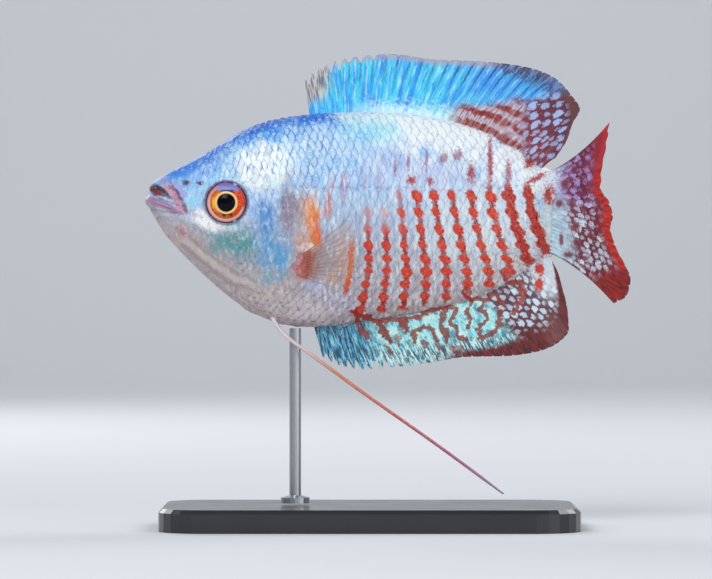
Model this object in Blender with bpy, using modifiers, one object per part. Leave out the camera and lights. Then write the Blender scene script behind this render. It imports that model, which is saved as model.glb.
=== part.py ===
"""Dwarf gourami, an adult male in profile, as a life-size still model on a display stand.

The fish has its snout towards -X and its left flank towards -Y. Its own frame, in millimetres,
runs x from the snout back, y to its right and z up from the level of the mouth. The tail swings
a little to the far side. The floor is at z = 0 and the stand's base stands on it.
"""

import math

import bmesh
import bpy
import numpy as np

MM = 0.001
GAP = 0.3

# Body outline, snout to tail: x, back, belly, half width, share of height at which it is widest,
# and how full the section is above and below that level (1 is an ellipse, less is fuller)
STATIONS = (
    (0.8, 2.2, -1.5, 0.9, 0.55, 0.9, 0.9),
    (2.3, 3.4, -4.1, 1.6, 0.55, 0.9, 0.9),
    (5.4, 5.1, -7.9, 2.7, 0.56, 0.85, 0.95),
    (10.0, 7.6, -12.4, 3.8, 0.57, 0.8, 1.0),
    (16.0, 11.0, -17.0, 4.8, 0.54, 0.85, 0.9),
    (22.3, 12.75, -19.3, 5.4, 0.51, 0.95, 0.85),
    (31.5, 13.5, -19.0, 5.4, 0.50, 1.0, 1.0),
    (43.8, 12.8, -17.1, 4.4, 0.50, 1.1, 1.15),
    (53.0, 10.1, -14.3, 3.0, 0.50, 1.15, 1.2),
    (58.0, 7.0, -11.3, 2.1, 0.50, 1.1, 1.1),
    (60.9, 4.9, -9.2, 1.5, 0.50, 1.0, 1.0),
    (63.0, 4.6, -8.4, 1.1, 0.50, 1.0, 1.0),
)
HEAD_END = 23.4
STALK_START = 56.0
TAIL_BASE = 62.6
RING_STEPS = 18

# The gill slit bows forward above and below: how much, round which level, and over which stretch
SLIT_BOW = 0.032
SLIT_LEVEL = -4.5
SLIT_STRETCH = (4.0, 52.0)

# The tail swings to the far side: where the midline starts to turn, where it has turned, its slope
SWING_START = 54.0
SWING_END = 68.0
SWING_SLOPE = 0.82

# Each eye is a flat ball turned a little forward, so that its rim follows the head
EYE = (12.6, 3.35, -0.45)
EYE_RADII = (3.3, 1.6, 3.3)
EYE_TURN = math.radians(10)
EYE_SIDES = (20, 12)

# Each lip: x, y and z at the front and at the mouth's corner, and its radius at both
UPPER_LIP = ((1.75, 1.75), (6.1, 2.55, -0.9), (1.0, 0.4))
LOWER_LIP = ((1.02, -0.15), (6.0, 2.55, -1.8), (1.0, 0.4))
# How the lips curve back, down and thin out towards their corners
LIP_POWERS = (1.9, 1.3, 1.5)
LIP_STEPS = 17
NOSTRILS = ((6.3, 2.6, 0.4), (8.6, 2.6, 0.32))
NOSTRIL_DEPTH = 0.4
NOSTRIL_SIDES = (10, 6)

# Gill cover, in side view, from its upper front corner round the back; it ends at the slit
GILL_COVER = (
    (17.6, 4.0), (21.5, 3.6), (27.0, 0.5), (27.0, -11.0), (21.0, -15.2),
    (16.4, -14.4), (13.6, -11.4), (13.3, -7.8), (15.3, -4.6), (16.9, -1.2),
)
COVER_RAISE = 0.25
COVER_DEPTH = 0.8
COVER_REACH = (1.5, 9.0)

# Distances between the body's sections
SNOUT_SECTIONS = (0.8, 1.3, 1.7)
HEAD_STEP = 0.95
TORSO_STEP = 1.6
CLEARANCE_STEP = 1.2

# Fins, ray by ray from the front: x at the root, then x and z at the tip
DORSAL_RAYS = (
    (25.6, 24.6, 18.5), (27.6, 26.9, 20.4), (31.0, 30.8, 21.8), (36.4, 37.8, 22.4),
    (41.2, 44.6, 21.6), (46.0, 51.5, 21.3), (50.2, 57.8, 20.6), (53.6, 62.6, 19.0),
    (56.2, 65.5, 16.2), (58.0, 66.9, 14.0), (59.2, 65.8, 11.8), (60.0, 64.9, 9.2),
    (60.6, 63.2, 6.6),
)
ANAL_RAYS = (
    (26.1, 27.4, -24.2), (27.7, 29.8, -25.4), (31.0, 33.6, -26.1), (36.0, 39.2, -25.6),
    (40.8, 44.4, -24.9), (45.4, 49.6, -24.1), (49.8, 55.2, -24.0), (53.5, 60.3, -23.3),
    (56.2, 63.7, -21.8), (58.0, 65.2, -19.8), (59.5, 65.0, -16.8), (60.6, 64.2, -13.4),
    (61.3, 63.5, -11.0), (61.9, 62.8, -9.7),
)
# Tail fin: z at the root, then x and z at the tip, top to bottom
TAIL_RAYS = (
    (4.2, 71.9, 12.2), (3.5, 71.5, 9.2), (2.6, 70.7, 5.2), (1.5, 70.5, 2.0),
    (0.4, 71.8, -0.1), (-0.8, 72.4, -2.4), (-2.0, 72.0, -4.2), (-3.2, 73.0, -7.4),
    (-4.5, 74.4, -9.9), (-5.8, 75.3, -12.2), (-7.0, 74.6, -14.8), (-7.9, 72.6, -15.9),
)
# Pectoral fin: x and z at the root, then x and z at the tip, top to bottom
PECTORAL_RAYS = (
    (24.4, -8.4, 31.3, -3.2), (24.5, -9.2, 32.4, -5.6), (24.5, -10.1, 32.6, -8.6),
    (24.3, -11.0, 32.0, -11.2), (24.0, -11.8, 29.9, -13.8),
)
PECTORAL_FLARE = 0.72
PECTORAL_OFF = 0.1

# How far rays arch backwards, how far the margin falls short between rays, and how evenly the roots
# are spread, from 0 by the ray tables to 1 along the edge
DORSAL_BOW = 0.05
ANAL_BOW = 0.03
TAIL_ARCH = 0.9
NOTCH = 0.05
NOTCH_FADE = 0.7
ROOT_SPREAD = 0.6
LONG_FIN_ROWS = (0, 0.12, 0.4, 0.7, 1)
TAIL_ROWS = (0, 0.12, 0.35, 0.6, 0.8, 1)
PECTORAL_ROWS = (0, 0.1, 0.35, 0.65, 1)

# Number of rays in each fin
DORSAL_COUNT = 25
ANAL_COUNT = 31
TAIL_COUNT = 16
PECTORAL_COUNT = 10

ROOT_HALF = 0.42
MEMBRANE_HALF = 0.26
MARGIN_HALF = 0.18
THICKNESS_ROWS = (0, 0.15, 0.6, 1)
RAY_RIDGE = 0.15
RAY_TAPER = 0.6
RAY_FOOT = 0.24

# Feeler centre line from the belly: x, z, then how far it stands off the middle
FEELER = (
    (18.9, -16.6, 1.1), (20.5, -19.6, 1.9), (23.8, -22.5, 2.3), (33.4, -29.5, 2.6),
    (45.0, -37.7, 2.8), (54.9, -45.0, 2.9),
)
FEELER_RADII = (0.36, 0.27, 0.22, 0.12)
FEELER_SHARES = (0, 0.2, 0.9, 1)
FEELER_STEPS = 24
FEELER_CROWDING = 1.25
FAR_FEELER_SCALE = 1.008

BASE_SIZE = (64.0, 36.0, 3.5)
BASE_ROUND = 7.0
BASE_ROUND_STEPS = 6
BASE_CHAMFER = 0.6
ROD_X = 23.1
ROD_RADIUS = 0.9
ROD_STEPS = 20
COLLAR = (2.2, 1.2)
COLLAR_WALL = 0.7
FEELER_CLEAR = 1.5

FISH_MIDDLE = 34.5
AXIS_HEIGHT = BASE_SIZE[2] + FEELER_CLEAR - FEELER[-1][1] * FAR_FEELER_SCALE

BLUE_SILVER = (0.55, 0.70, 0.86)
PALE_FLANK = (0.60, 0.68, 0.74)
CHEEK_GREY = (0.62, 0.62, 0.62)
TURQUOISE = (0.16, 0.55, 0.80)
FIN_RED = (0.45, 0.08, 0.08)
ORANGE_THREAD = (0.80, 0.36, 0.20)
CLEAR_PINK = (0.75, 0.50, 0.42)
EYE_ORANGE = (0.70, 0.20, 0.05)
STAND_GREY = (0.05, 0.05, 0.055)
STEEL = (0.60, 0.60, 0.62)


# Curves

def natural_spline(xs, ys):
    """The smoothest curve through the points, as a function of x."""
    xs, ys = np.array(xs, float), np.array(ys, float)
    step, rise = np.diff(xs), np.diff(ys)
    n = len(xs)
    matrix, target = np.eye(n), np.zeros(n)
    for i in range(1, n - 1):
        matrix[i, i - 1:i + 2] = step[i - 1], 2 * (step[i - 1] + step[i]), step[i]
        target[i] = 3 * (rise[i] / step[i] - rise[i - 1] / step[i - 1])
    c = np.linalg.solve(matrix, target)
    b = rise / step - step * (2 * c[:-1] + c[1:]) / 3
    d = np.diff(c) / (3 * step)

    def value(x):
        i = np.clip(np.searchsorted(xs, x) - 1, 0, n - 2)
        t = np.asarray(x, float) - xs[i]
        return ys[i] + t * (b[i] + t * (c[i] + t * d[i]))

    return value


def steady_curve(xs, ys):
    """A smooth curve through the points that never swings past them, as a function of x."""
    xs, ys = np.array(xs, float), np.array(ys, float)
    step = np.diff(xs)
    slope = np.diff(ys) / step
    tangent = np.concatenate([[slope[0]], np.zeros(len(xs) - 2), [slope[-1]]])
    for i in range(1, len(xs) - 1):
        if slope[i - 1] * slope[i] > 0:
            tangent[i] = 2 / (1 / slope[i - 1] + 1 / slope[i])

    def value(x):
        i = np.clip(np.searchsorted(xs, x) - 1, 0, len(xs) - 2)
        t = (np.asarray(x, float) - xs[i]) / step[i]
        start = ys[i] * (1 + 2 * t) * (1 - t) ** 2 + step[i] * tangent[i] * t * (1 - t) ** 2
        return start + ys[i + 1] * t * t * (3 - 2 * t) + step[i] * tangent[i + 1] * t * t * (t - 1)

    return value


COLUMNS = list(zip(*STATIONS))
BACK, BELLY, HALF_WIDTH, WIDEST, FULL_ABOVE, FULL_BELOW = (
    natural_spline(COLUMNS[0], column) for column in COLUMNS[1:]
)


def turn(x):
    """The share of the tail's turn made at x, from 0 to 1."""
    return np.clip((np.asarray(x, float) - SWING_START) / (SWING_END - SWING_START), 0, 1)


def midline(x):
    """How far the midline has swung to the far side at x, and its slope there."""
    share = turn(x)
    past = np.maximum(0, np.asarray(x, float) - SWING_END)
    swung = (SWING_END - SWING_START) * (share**3 - share**4 / 2) + past
    return SWING_SLOPE * swung, SWING_SLOPE * share**2 * (3 - 2 * share)


def bend(x, y, z):
    """Carries points of the straight fish onto its curved midline."""
    across, slope = midline(x)
    length = np.hypot(1, slope)
    return np.stack(np.broadcast_arrays(x - y * slope / length, across + y / length, z), -1)


def half_width(x, z, grow=0.0):
    """Half the body's width at a place in side view."""
    top, low = BACK(x) + grow, BELLY(x) - grow
    level = low + WIDEST(x) * (top - low)
    above = z > level
    share = np.where(above, (z - level) / (top - level), (level - z) / (level - low))
    full = np.where(above, FULL_ABOVE(x), FULL_BELOW(x))
    return (HALF_WIDTH(x) + grow) * np.clip(1 - share**2, 0, 1) ** (full / 2)


# Meshes

def paint(name, colour, roughness=0.4, metallic=0.0):
    material = bpy.data.materials.new(name)
    material.use_nodes = True
    shader = material.node_tree.nodes["Principled BSDF"]
    shader.inputs["Base Color"].default_value = (*colour, 1)
    shader.inputs["Roughness"].default_value = roughness
    shader.inputs["Metallic"].default_value = metallic
    return material


def new_object(name, mesh, collection, material=None):
    thing = bpy.data.objects.new(name, mesh)
    collection.objects.link(thing)
    if material:
        mesh.materials.append(material)
    return thing


def mesh_object(name, points, faces, collection, material=None):
    """An object from points in millimetres; its mesh is in metres."""
    mesh = bpy.data.meshes.new(name)
    mesh.from_pydata((np.asarray(points, float) * MM).tolist(), [], faces)
    work = bmesh.new()
    work.from_mesh(mesh)
    bmesh.ops.recalc_face_normals(work, faces=work.faces)
    work.to_mesh(mesh)
    work.free()
    return new_object(name, mesh, collection, material)


def boolean(thing, other, operation, solver="EXACT"):
    """Applies one Boolean and removes the other object."""
    modifier = thing.modifiers.new("cut", "BOOLEAN")
    modifier.operation = operation
    modifier.solver = solver
    modifier.object = other
    graph = bpy.context.evaluated_depsgraph_get()
    result = bpy.data.meshes.new_from_object(thing.evaluated_get(graph))
    thing.modifiers.clear()
    thing.data = result
    bpy.data.objects.remove(other)


def keep_largest(thing):
    """Drops every loose scrap that a cut left, so that the node is one closed body."""
    work = bmesh.new()
    work.from_mesh(thing.data)
    seen, groups = set(), []
    for start in work.verts:
        if start in seen:
            continue
        group, queue = [], [start]
        seen.add(start)
        while queue:
            vertex = queue.pop()
            group.append(vertex)
            for edge in vertex.link_edges:
                other = edge.other_vert(vertex)
                if other not in seen:
                    seen.add(other)
                    queue.append(other)
        groups.append(group)
    groups.sort(key=len)
    for group in groups[:-1]:
        bmesh.ops.delete(work, geom=group, context="VERTS")
    work.to_mesh(thing.data)
    work.free()


def smooth(thing, degrees=40):
    thing.data.shade_smooth()
    thing.data.set_sharp_from_angle(angle=math.radians(degrees))


# Body

def slit_bow(s):
    start, end = SLIT_STRETCH
    share = np.clip((s - start) / (end - start), 0, 1)
    return SLIT_BOW * math.sin(math.pi * share) ** 2


def section_x(s, z):
    """Where section s, which bows forward above and below, lies at a height."""
    return s - slit_bow(s) * (z - SLIT_LEVEL) ** 2


def ring(s, grow):
    """One section of the body: top, down the left flank, bottom, and up the right flank."""
    ends = []
    for edge, sign in ((BACK, 1), (BELLY, -1)):
        z = float(edge(s))
        for _ in range(20):
            z = 0.5 * z + 0.5 * (float(edge(section_x(s, z))) + sign * grow)
        ends.append(z)
    angles = np.linspace(0, math.pi, RING_STEPS + 1)
    z = (ends[0] + ends[1]) / 2 + (ends[0] - ends[1]) / 2 * np.cos(angles)
    x = section_x(s, z)
    y = half_width(x, z, grow)
    y[0] = y[-1] = 0
    left = np.stack([x, -y, z], 1)
    right = np.stack([x, y, z], 1)[-2:0:-1]
    return np.concatenate([left, right])


def body_length(name, sections, collection, material=None, grow=0.0):
    """A closed length of the body through the given sections."""
    rings = [ring(s, grow) for s in sections]
    n = len(rings[0])
    points = np.concatenate(rings)
    faces = []
    for i in range(len(rings) - 1):
        for j in range(n):
            k = (j + 1) % n
            faces.append((i * n + j, i * n + k, (i + 1) * n + k, (i + 1) * n + j))
    for first in (0, (len(rings) - 1) * n):
        faces.append((first, first + 1, first + n - 1))
        for j in range(1, RING_STEPS - 1):
            faces.append((first + j, first + j + 1, first + n - j - 1, first + n - j))
        faces.append((first + RING_STEPS - 1, first + RING_STEPS, first + RING_STEPS + 1))
    return mesh_object(name, bend(*points.T), faces, collection, material)


def spaced(start, end, step):
    return np.linspace(start, end, max(2, round((end - start) / step) + 1))


def ellipsoid(name, centre, radii, sides, collection, material=None, turn_by=0.0):
    """A ball squashed to its radii, its poles across the fish, turned about the upright axis."""
    bpy.ops.mesh.primitive_uv_sphere_add(segments=sides[0], ring_count=sides[1], radius=1)
    thing = bpy.context.object
    thing.name = name
    thing.data.name = name
    for owner in list(thing.users_collection):
        owner.objects.unlink(thing)
    collection.objects.link(thing)
    for vertex in thing.data.vertices:
        x, z, y = vertex.co
        along, across, up = (r * v for r, v in zip(radii, (x, -y, z)))
        turned = (along * math.cos(turn_by) - across * math.sin(turn_by),
                  along * math.sin(turn_by) + across * math.cos(turn_by), up)
        vertex.co = [(c + t) * MM for c, t in zip(centre, turned)]
    if material:
        thing.data.materials.append(material)
    return thing


def tube(name, points, radii, collection, material=None, resolution=2):
    """A tapering tube through points, as a mesh with its caps welded."""
    curve = bpy.data.curves.new(name, "CURVE")
    curve.dimensions = "3D"
    curve.bevel_depth = MM
    curve.bevel_resolution = resolution
    curve.use_fill_caps = True
    spline = curve.splines.new("POLY")
    spline.points.add(len(points) - 1)
    for place, point, radius in zip(spline.points, points, radii):
        place.co = (*(c * MM for c in point), 1)
        place.radius = radius
    source = bpy.data.objects.new(name + "_curve", curve)
    collection.objects.link(source)
    graph = bpy.context.evaluated_depsgraph_get()
    mesh = bpy.data.meshes.new_from_object(source.evaluated_get(graph))
    bpy.data.objects.remove(source)
    work = bmesh.new()
    work.from_mesh(mesh)
    bmesh.ops.remove_doubles(work, verts=work.verts, dist=1e-6)
    bmesh.ops.recalc_face_normals(work, faces=work.faces)
    work.to_mesh(mesh)
    work.free()
    mesh.materials.clear()
    return new_object(name, mesh, collection, material)


def lip(name, shape, collection):
    """A fleshy roll round the mouth, from corner to corner."""
    front, corner, radii = shape
    along = np.linspace(-1, 1, LIP_STEPS)
    reach = np.abs(along)
    x = front[0] + (corner[0] - front[0]) * reach ** LIP_POWERS[0]
    y = corner[1] * np.sin(along * math.pi / 2)
    z = front[1] + (corner[2] - front[1]) * reach ** LIP_POWERS[1]
    radius = radii[0] + (radii[1] - radii[0]) * reach ** LIP_POWERS[2]
    return tube(name, np.stack([x, y, z], 1), radius, collection)


def prism(name, outline, collection, side):
    """A block of the outline's shape through one cheek."""
    y_from, y_to = (side * reach for reach in COVER_REACH)
    n = len(outline)
    points = [(x, y_from, z) for x, z in outline] + [(x, y_to, z) for x, z in outline]
    sides = [(i, (i + 1) % n, n + (i + 1) % n, n + i) for i in range(n)]
    faces = sides + [tuple(range(n)), tuple(range(2 * n - 1, n - 1, -1))]
    return mesh_object(name, points, faces, collection)


def rounded_outline(corners, steps=3, grow=0.0):
    """A closed smooth outline through the corners, moved outwards by grow."""
    corners = np.array(corners, float)
    n = len(corners)
    points = []
    for i in range(n):
        a, b, c, d = (corners[(i + k) % n] for k in (-1, 0, 1, 2))
        for t in np.arange(steps) / steps:
            points.append(
                0.5 * (2 * b + (c - a) * t + (2 * a - 5 * b + 4 * c - d) * t * t
                       + (3 * b - a - 3 * c + d) * t**3)
            )
    points = np.array(points)
    along = np.roll(points, -1, 0) - np.roll(points, 1, 0)
    outwards = np.stack([-along[:, 1], along[:, 0]], 1)
    outwards /= np.linalg.norm(outwards, axis=1)[:, None]
    return points + grow * outwards


def make_head(collection, cutters, skin):
    """Snout, brow and throat, with the lips on and the openings for eyes and gill covers cut."""
    sections = np.concatenate([SNOUT_SECTIONS, spaced(2.2, HEAD_END - GAP / 2, HEAD_STEP)])
    head = body_length("head", sections, collection, skin)
    for shape in (UPPER_LIP, LOWER_LIP):
        boolean(head, lip("lip", shape, cutters), "UNION")
    for side in (-1, 1):
        slot = prism("slot", rounded_outline(GILL_COVER, grow=GAP), cutters, side)
        core = body_length("core", sections, cutters, grow=-COVER_DEPTH - GAP)
        boolean(slot, core, "DIFFERENCE")
        boolean(head, slot, "DIFFERENCE")
        centre = (EYE[0], side * EYE[1], EYE[2])
        socket_radii = [r + GAP for r in EYE_RADII]
        socket = ellipsoid("socket", centre, socket_radii, EYE_SIDES, cutters, turn_by=side * EYE_TURN)
        boolean(head, socket, "DIFFERENCE")
        for x, z, radius in NOSTRILS:
            y = side * float(half_width(x, z))
            pit = ellipsoid("nostril", (x, y, z), (radius, NOSTRIL_DEPTH, radius), NOSTRIL_SIDES, cutters)
            boolean(head, pit, "DIFFERENCE")
    keep_largest(head)
    smooth(head)


def make_gill_cover(side, name, collection, cutters, skin):
    """The bony lid over the gills: its edge stands a little proud of the cheek."""
    sections = spaced(9.0, HEAD_END - GAP / 2, HEAD_STEP)
    cover = body_length(name, sections, collection, skin, grow=COVER_RAISE)
    block = prism("block", rounded_outline(GILL_COVER), cutters, side)
    boolean(cover, block, "INTERSECT")
    core = body_length("core", spaced(8.0, 24.0, HEAD_STEP), cutters, grow=-COVER_DEPTH)
    boolean(cover, core, "DIFFERENCE")
    keep_largest(cover)
    smooth(cover)


# Fins

def fin_sheet(name, place, columns, rows, half_thickness, collection, material):
    """A thin closed sheet: both faces are split alike, over columns and root-to-margin rows."""
    n, m = len(columns), len(rows)
    u, v = (grid.ravel() for grid in np.meshgrid(columns, rows, indexing="ij"))
    x, y, z, slope = place(u, v)
    half = half_thickness(u, v)
    length = np.hypot(1, slope)
    step = np.stack([-slope / length, 1 / length, 0 * half], 1) * half[:, None]
    middle = np.stack(np.broadcast_arrays(x, y, z), 1)
    points = np.concatenate([middle - step, middle + step])
    far = n * m
    faces = []
    for i in range(n - 1):
        for j in range(m - 1):
            a, b, c, d = i * m + j, (i + 1) * m + j, (i + 1) * m + j + 1, i * m + j + 1
            faces += [(a, b, c), (a, c, d), (far + a, far + c, far + b), (far + a, far + d, far + c)]
    loop = (
        [i * m for i in range(n)]
        + [(n - 1) * m + j for j in range(1, m)]
        + [i * m + m - 1 for i in range(n - 2, -1, -1)]
        + [j for j in range(m - 2, 0, -1)]
    )
    for a, b in zip(loop, loop[1:] + loop[:1]):
        faces += [(a, far + a, far + b), (a, far + b, b)]
    fin = mesh_object(name, points, faces, collection, material)
    smooth(fin, 50)
    return fin


def ray_columns(count):
    """Where the columns stand: a crest for each ray with a foot on both sides."""
    middles = np.linspace(0, 1, count)
    foot = RAY_FOOT / (count - 1)
    columns = np.concatenate([middles - foot, middles, middles + foot])
    return np.sort(columns[(columns >= 0) & (columns <= 1)])


def on_ray(u, count):
    return np.abs(u * (count - 1) - np.round(u * (count - 1))) < 1e-6


def fin_thickness(count):
    """Half the fin's thickness: flesh at the root, a thin margin, and a ridge on each ray."""

    def half(u, v):
        sheet = np.interp(v, THICKNESS_ROWS, (ROOT_HALF, MEMBRANE_HALF, MEMBRANE_HALF, MARGIN_HALF))
        return sheet + on_ray(u, count) * RAY_RIDGE * (1 - RAY_TAPER * v) * (v > 0)

    return half


def long_fin(name, rays, edge, sign, count, bow, collection, material):
    """A fin along the back or belly; each ray stands in the plane of the midline at its root."""
    shares = np.linspace(0, 1, len(rays))
    root_x, tip_x, tip_z = (steady_curve(shares, column) for column in zip(*rays))
    fine = np.linspace(0, 1, 400)
    by_root = np.interp(np.linspace(rays[0][0], rays[-1][0], 400), root_x(fine), fine)
    spread = ROOT_SPREAD * by_root + (1 - ROOT_SPREAD) * fine

    def place(u, v):
        share = np.interp(u, fine, spread)
        x0, x1, z1 = root_x(share), tip_x(share), tip_z(share)
        z0 = edge(x0) + sign * GAP
        v = v * (1 - NOTCH * ~on_ray(u, count) * (1 - NOTCH_FADE * u))
        arch = bow * share**2 * 4 * v * (1 - v) * np.hypot(x1 - x0, z1 - z0)
        x = x0 + (x1 - x0) * v - 0.5 * arch
        across, slope = midline(x0)
        return x, across + slope * (x - x0), z0 + (z1 - z0) * v + sign * arch, slope

    fin_sheet(name, place, ray_columns(count), LONG_FIN_ROWS, fin_thickness(count), collection, material)


def tail_fin(collection, material):
    """The fan at the tail's end; its rays arch apart towards the two lobes."""
    shares = np.linspace(0, 1, len(TAIL_RAYS))
    root_z, tip_x, tip_z = (steady_curve(shares, column) for column in zip(*TAIL_RAYS))

    def place(u, v):
        x0, z0, x1, z1 = TAIL_BASE + GAP, root_z(u), tip_x(u), tip_z(u)
        arch = (2 * u - 1) * 4 * v * (1 - v)
        x = x0 + (x1 - x0) * v
        across, slope = midline(x)
        return x, across, z0 + (z1 - z0) * v + TAIL_ARCH * arch, slope

    fin_sheet("tail_fin", place, ray_columns(TAIL_COUNT), TAIL_ROWS, fin_thickness(TAIL_COUNT),
              collection, material)


def pectoral_fin(side, name, collection, cutters, material):
    """A clear fan behind the gill slit that stands off the flank towards its tips."""
    shares = np.linspace(0, 1, len(PECTORAL_RAYS))
    root_x, root_z, tip_x, tip_z = (steady_curve(shares, column) for column in zip(*PECTORAL_RAYS))

    def place(u, v):
        x0, z0 = root_x(u), root_z(u)
        x = x0 + (tip_x(u) - x0) * v
        off = half_width(x0, z0) + PECTORAL_OFF + PECTORAL_FLARE * (x - x0)
        return x, side * off, z0 + (tip_z(u) - z0) * v, side * PECTORAL_FLARE + 0 * x

    fin = fin_sheet(name, place, ray_columns(PECTORAL_COUNT), PECTORAL_ROWS,
                    fin_thickness(PECTORAL_COUNT), collection, material)
    boolean(fin, clearance(cutters), "DIFFERENCE")
    keep_largest(fin)
    smooth(fin, 50)


def clearance(cutters):
    """The body grown by the gap that neighbours keep from it."""
    sections = np.concatenate([[SNOUT_SECTIONS[0], 2.2], spaced(4.0, TAIL_BASE, CLEARANCE_STEP)])
    return body_length("clearance", sections, cutters, grow=GAP)


def feeler(side, name, collection, cutters, material):
    """The pelvic fin: one long ray drawn out into a thread that trails below the belly."""
    reach = np.array(FEELER)
    reach[:, :2] = reach[0, :2] + (reach[:, :2] - reach[0, :2]) * (FAR_FEELER_SCALE if side > 0 else 1)
    steps = np.linalg.norm(np.diff(reach, axis=0), axis=1)
    shares = np.concatenate([[0], np.cumsum(steps)]) / steps.sum()
    along = np.linspace(0, 1, FEELER_STEPS) ** FEELER_CROWDING
    x, z, off = (natural_spline(shares, column)(along) for column in reach.T)
    radius = np.interp(along, FEELER_SHARES, FEELER_RADII)
    thread = tube(name, np.stack([x, side * off, z], 1), radius, collection, material)
    boolean(thread, clearance(cutters), "DIFFERENCE")
    keep_largest(thread)
    smooth(thread, 60)


# Stand

def make_stand(collection):
    """A flat base with rounded corners, and one rod in a collar that ends under the belly."""
    grey = paint("stand_grey", STAND_GREY, 0.45, 0.0)
    steel = paint("rod_steel", STEEL, 0.3, 1.0)
    bpy.ops.mesh.primitive_cube_add(size=1)
    base = bpy.context.object
    base.name = "stand_base"
    for owner in list(base.users_collection):
        owner.objects.unlink(base)
    collection.objects.link(base)
    for vertex in base.data.vertices:
        vertex.co = [c * size * MM for c, size in zip(vertex.co, BASE_SIZE)]
    base.location.z = BASE_SIZE[2] / 2 * MM
    base.data.materials.append(grey)
    work = bmesh.new()
    work.from_mesh(base.data)
    upright = [e for e in work.edges if abs(e.verts[0].co.z - e.verts[1].co.z) > 1e-6]
    bmesh.ops.bevel(
        work, geom=upright, offset=BASE_ROUND * MM, segments=BASE_ROUND_STEPS, profile=0.5, affect="EDGES"
    )
    top = [e for e in work.edges if min(v.co.z for v in e.verts) > 1e-6]
    bmesh.ops.bevel(work, geom=top, offset=BASE_CHAMFER * MM, segments=1, affect="EDGES")
    work.to_mesh(base.data)
    work.free()

    foot = BASE_SIZE[2] + GAP
    top = AXIS_HEIGHT + float(BELLY(ROD_X)) - GAP
    profile = (
        (0.0, top), (ROD_RADIUS, top), (ROD_RADIUS, foot + COLLAR[1]),
        (COLLAR[0], foot + COLLAR[1] * COLLAR_WALL), (COLLAR[0], foot), (0.0, foot),
    )
    mesh = bpy.data.meshes.new("stand_rod")
    edges = [(i, i + 1) for i in range(len(profile) - 1)]
    mesh.from_pydata([(r * MM, 0, z * MM) for r, z in profile], edges, [])
    rod = new_object("stand_rod", mesh, collection, steel)
    rod.location.x = (ROD_X - FISH_MIDDLE) * MM
    turned = rod.modifiers.new("turned", "SCREW")
    turned.steps = ROD_STEPS
    turned.render_steps = ROD_STEPS
    turned.use_merge_vertices = True
    turned.merge_threshold = 1e-6


def main():
    for thing in list(bpy.data.objects):
        bpy.data.objects.remove(thing)
    collection = bpy.data.collections.new("dwarf_gourami")
    cutters = bpy.data.collections.new("cutters")
    bpy.context.scene.collection.children.link(collection)
    bpy.context.scene.collection.children.link(cutters)

    scales = paint("scales", BLUE_SILVER, 0.35)
    flank = paint("flank", PALE_FLANK, 0.35)
    cheek = paint("cheek", CHEEK_GREY, 0.4)
    blue_fin = paint("blue_fin", TURQUOISE, 0.4)
    red_fin = paint("red_fin", FIN_RED, 0.4)
    clear_fin = paint("clear_fin", CLEAR_PINK, 0.3)
    thread = paint("thread", ORANGE_THREAD, 0.4)
    iris = paint("iris", EYE_ORANGE, 0.1)

    make_head(collection, cutters, scales)
    torso_sections = spaced(HEAD_END + GAP / 2, STALK_START - GAP / 2, TORSO_STEP)
    torso = body_length("torso", torso_sections, collection, flank)
    smooth(torso)
    stalk_sections = spaced(STALK_START + GAP / 2, TAIL_BASE, HEAD_STEP)
    stalk = body_length("tail_stalk", stalk_sections, collection, flank)
    smooth(stalk)
    long_fin("dorsal_fin", DORSAL_RAYS, BACK, 1, DORSAL_COUNT, DORSAL_BOW, collection, blue_fin)
    long_fin("anal_fin", ANAL_RAYS, BELLY, -1, ANAL_COUNT, ANAL_BOW, collection, blue_fin)
    tail_fin(collection, red_fin)
    for side, word in ((-1, "left"), (1, "right")):
        make_gill_cover(side, "gill_cover_" + word, collection, cutters, cheek)
        centre = (EYE[0], side * EYE[1], EYE[2])
        eye = ellipsoid("eye_" + word, centre, EYE_RADII, EYE_SIDES, collection, iris, side * EYE_TURN)
        smooth(eye)
        pectoral_fin(side, "pectoral_fin_" + word, collection, cutters, clear_fin)
        feeler(side, "pelvic_feeler_" + word, collection, cutters, thread)

    fish = bpy.data.objects.new("dwarf_gourami", None)
    collection.objects.link(fish)
    fish.location = (-FISH_MIDDLE * MM, 0, AXIS_HEIGHT * MM)
    for thing in collection.objects:
        if thing.type == "MESH":
            thing.parent = fish
    make_stand(collection)


main()
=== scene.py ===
import math

import bmesh
import bpy
import numpy as np
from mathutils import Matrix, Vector


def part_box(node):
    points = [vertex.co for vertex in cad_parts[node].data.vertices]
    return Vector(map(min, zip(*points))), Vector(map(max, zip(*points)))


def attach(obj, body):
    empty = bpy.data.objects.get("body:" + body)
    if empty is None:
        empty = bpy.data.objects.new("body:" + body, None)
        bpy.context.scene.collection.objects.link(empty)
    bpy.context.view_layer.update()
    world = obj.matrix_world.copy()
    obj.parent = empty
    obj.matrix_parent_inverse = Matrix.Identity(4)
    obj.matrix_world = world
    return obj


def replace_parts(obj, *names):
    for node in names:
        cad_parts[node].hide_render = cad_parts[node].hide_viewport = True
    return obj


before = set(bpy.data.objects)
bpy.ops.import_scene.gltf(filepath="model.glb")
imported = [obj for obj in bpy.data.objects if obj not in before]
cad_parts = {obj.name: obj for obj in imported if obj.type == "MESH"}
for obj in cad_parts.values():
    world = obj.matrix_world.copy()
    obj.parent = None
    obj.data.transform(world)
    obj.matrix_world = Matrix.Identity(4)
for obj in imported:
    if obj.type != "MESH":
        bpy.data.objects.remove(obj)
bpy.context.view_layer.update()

# The camera looks straight at the fish's left flank, as the picture was taken, from far enough
# off that near and far sides keep their sizes. The picture is 712 by 579 pixels.
MM = 0.001
PICTURE_WIDTH = 712
PICTURE_HEIGHT = 579
MM_PER_PIXEL = 0.1537
SNOUT_PIXEL = (145, 200)
CAMERA_DISTANCE = 0.70
SENSOR = 36.0
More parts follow.
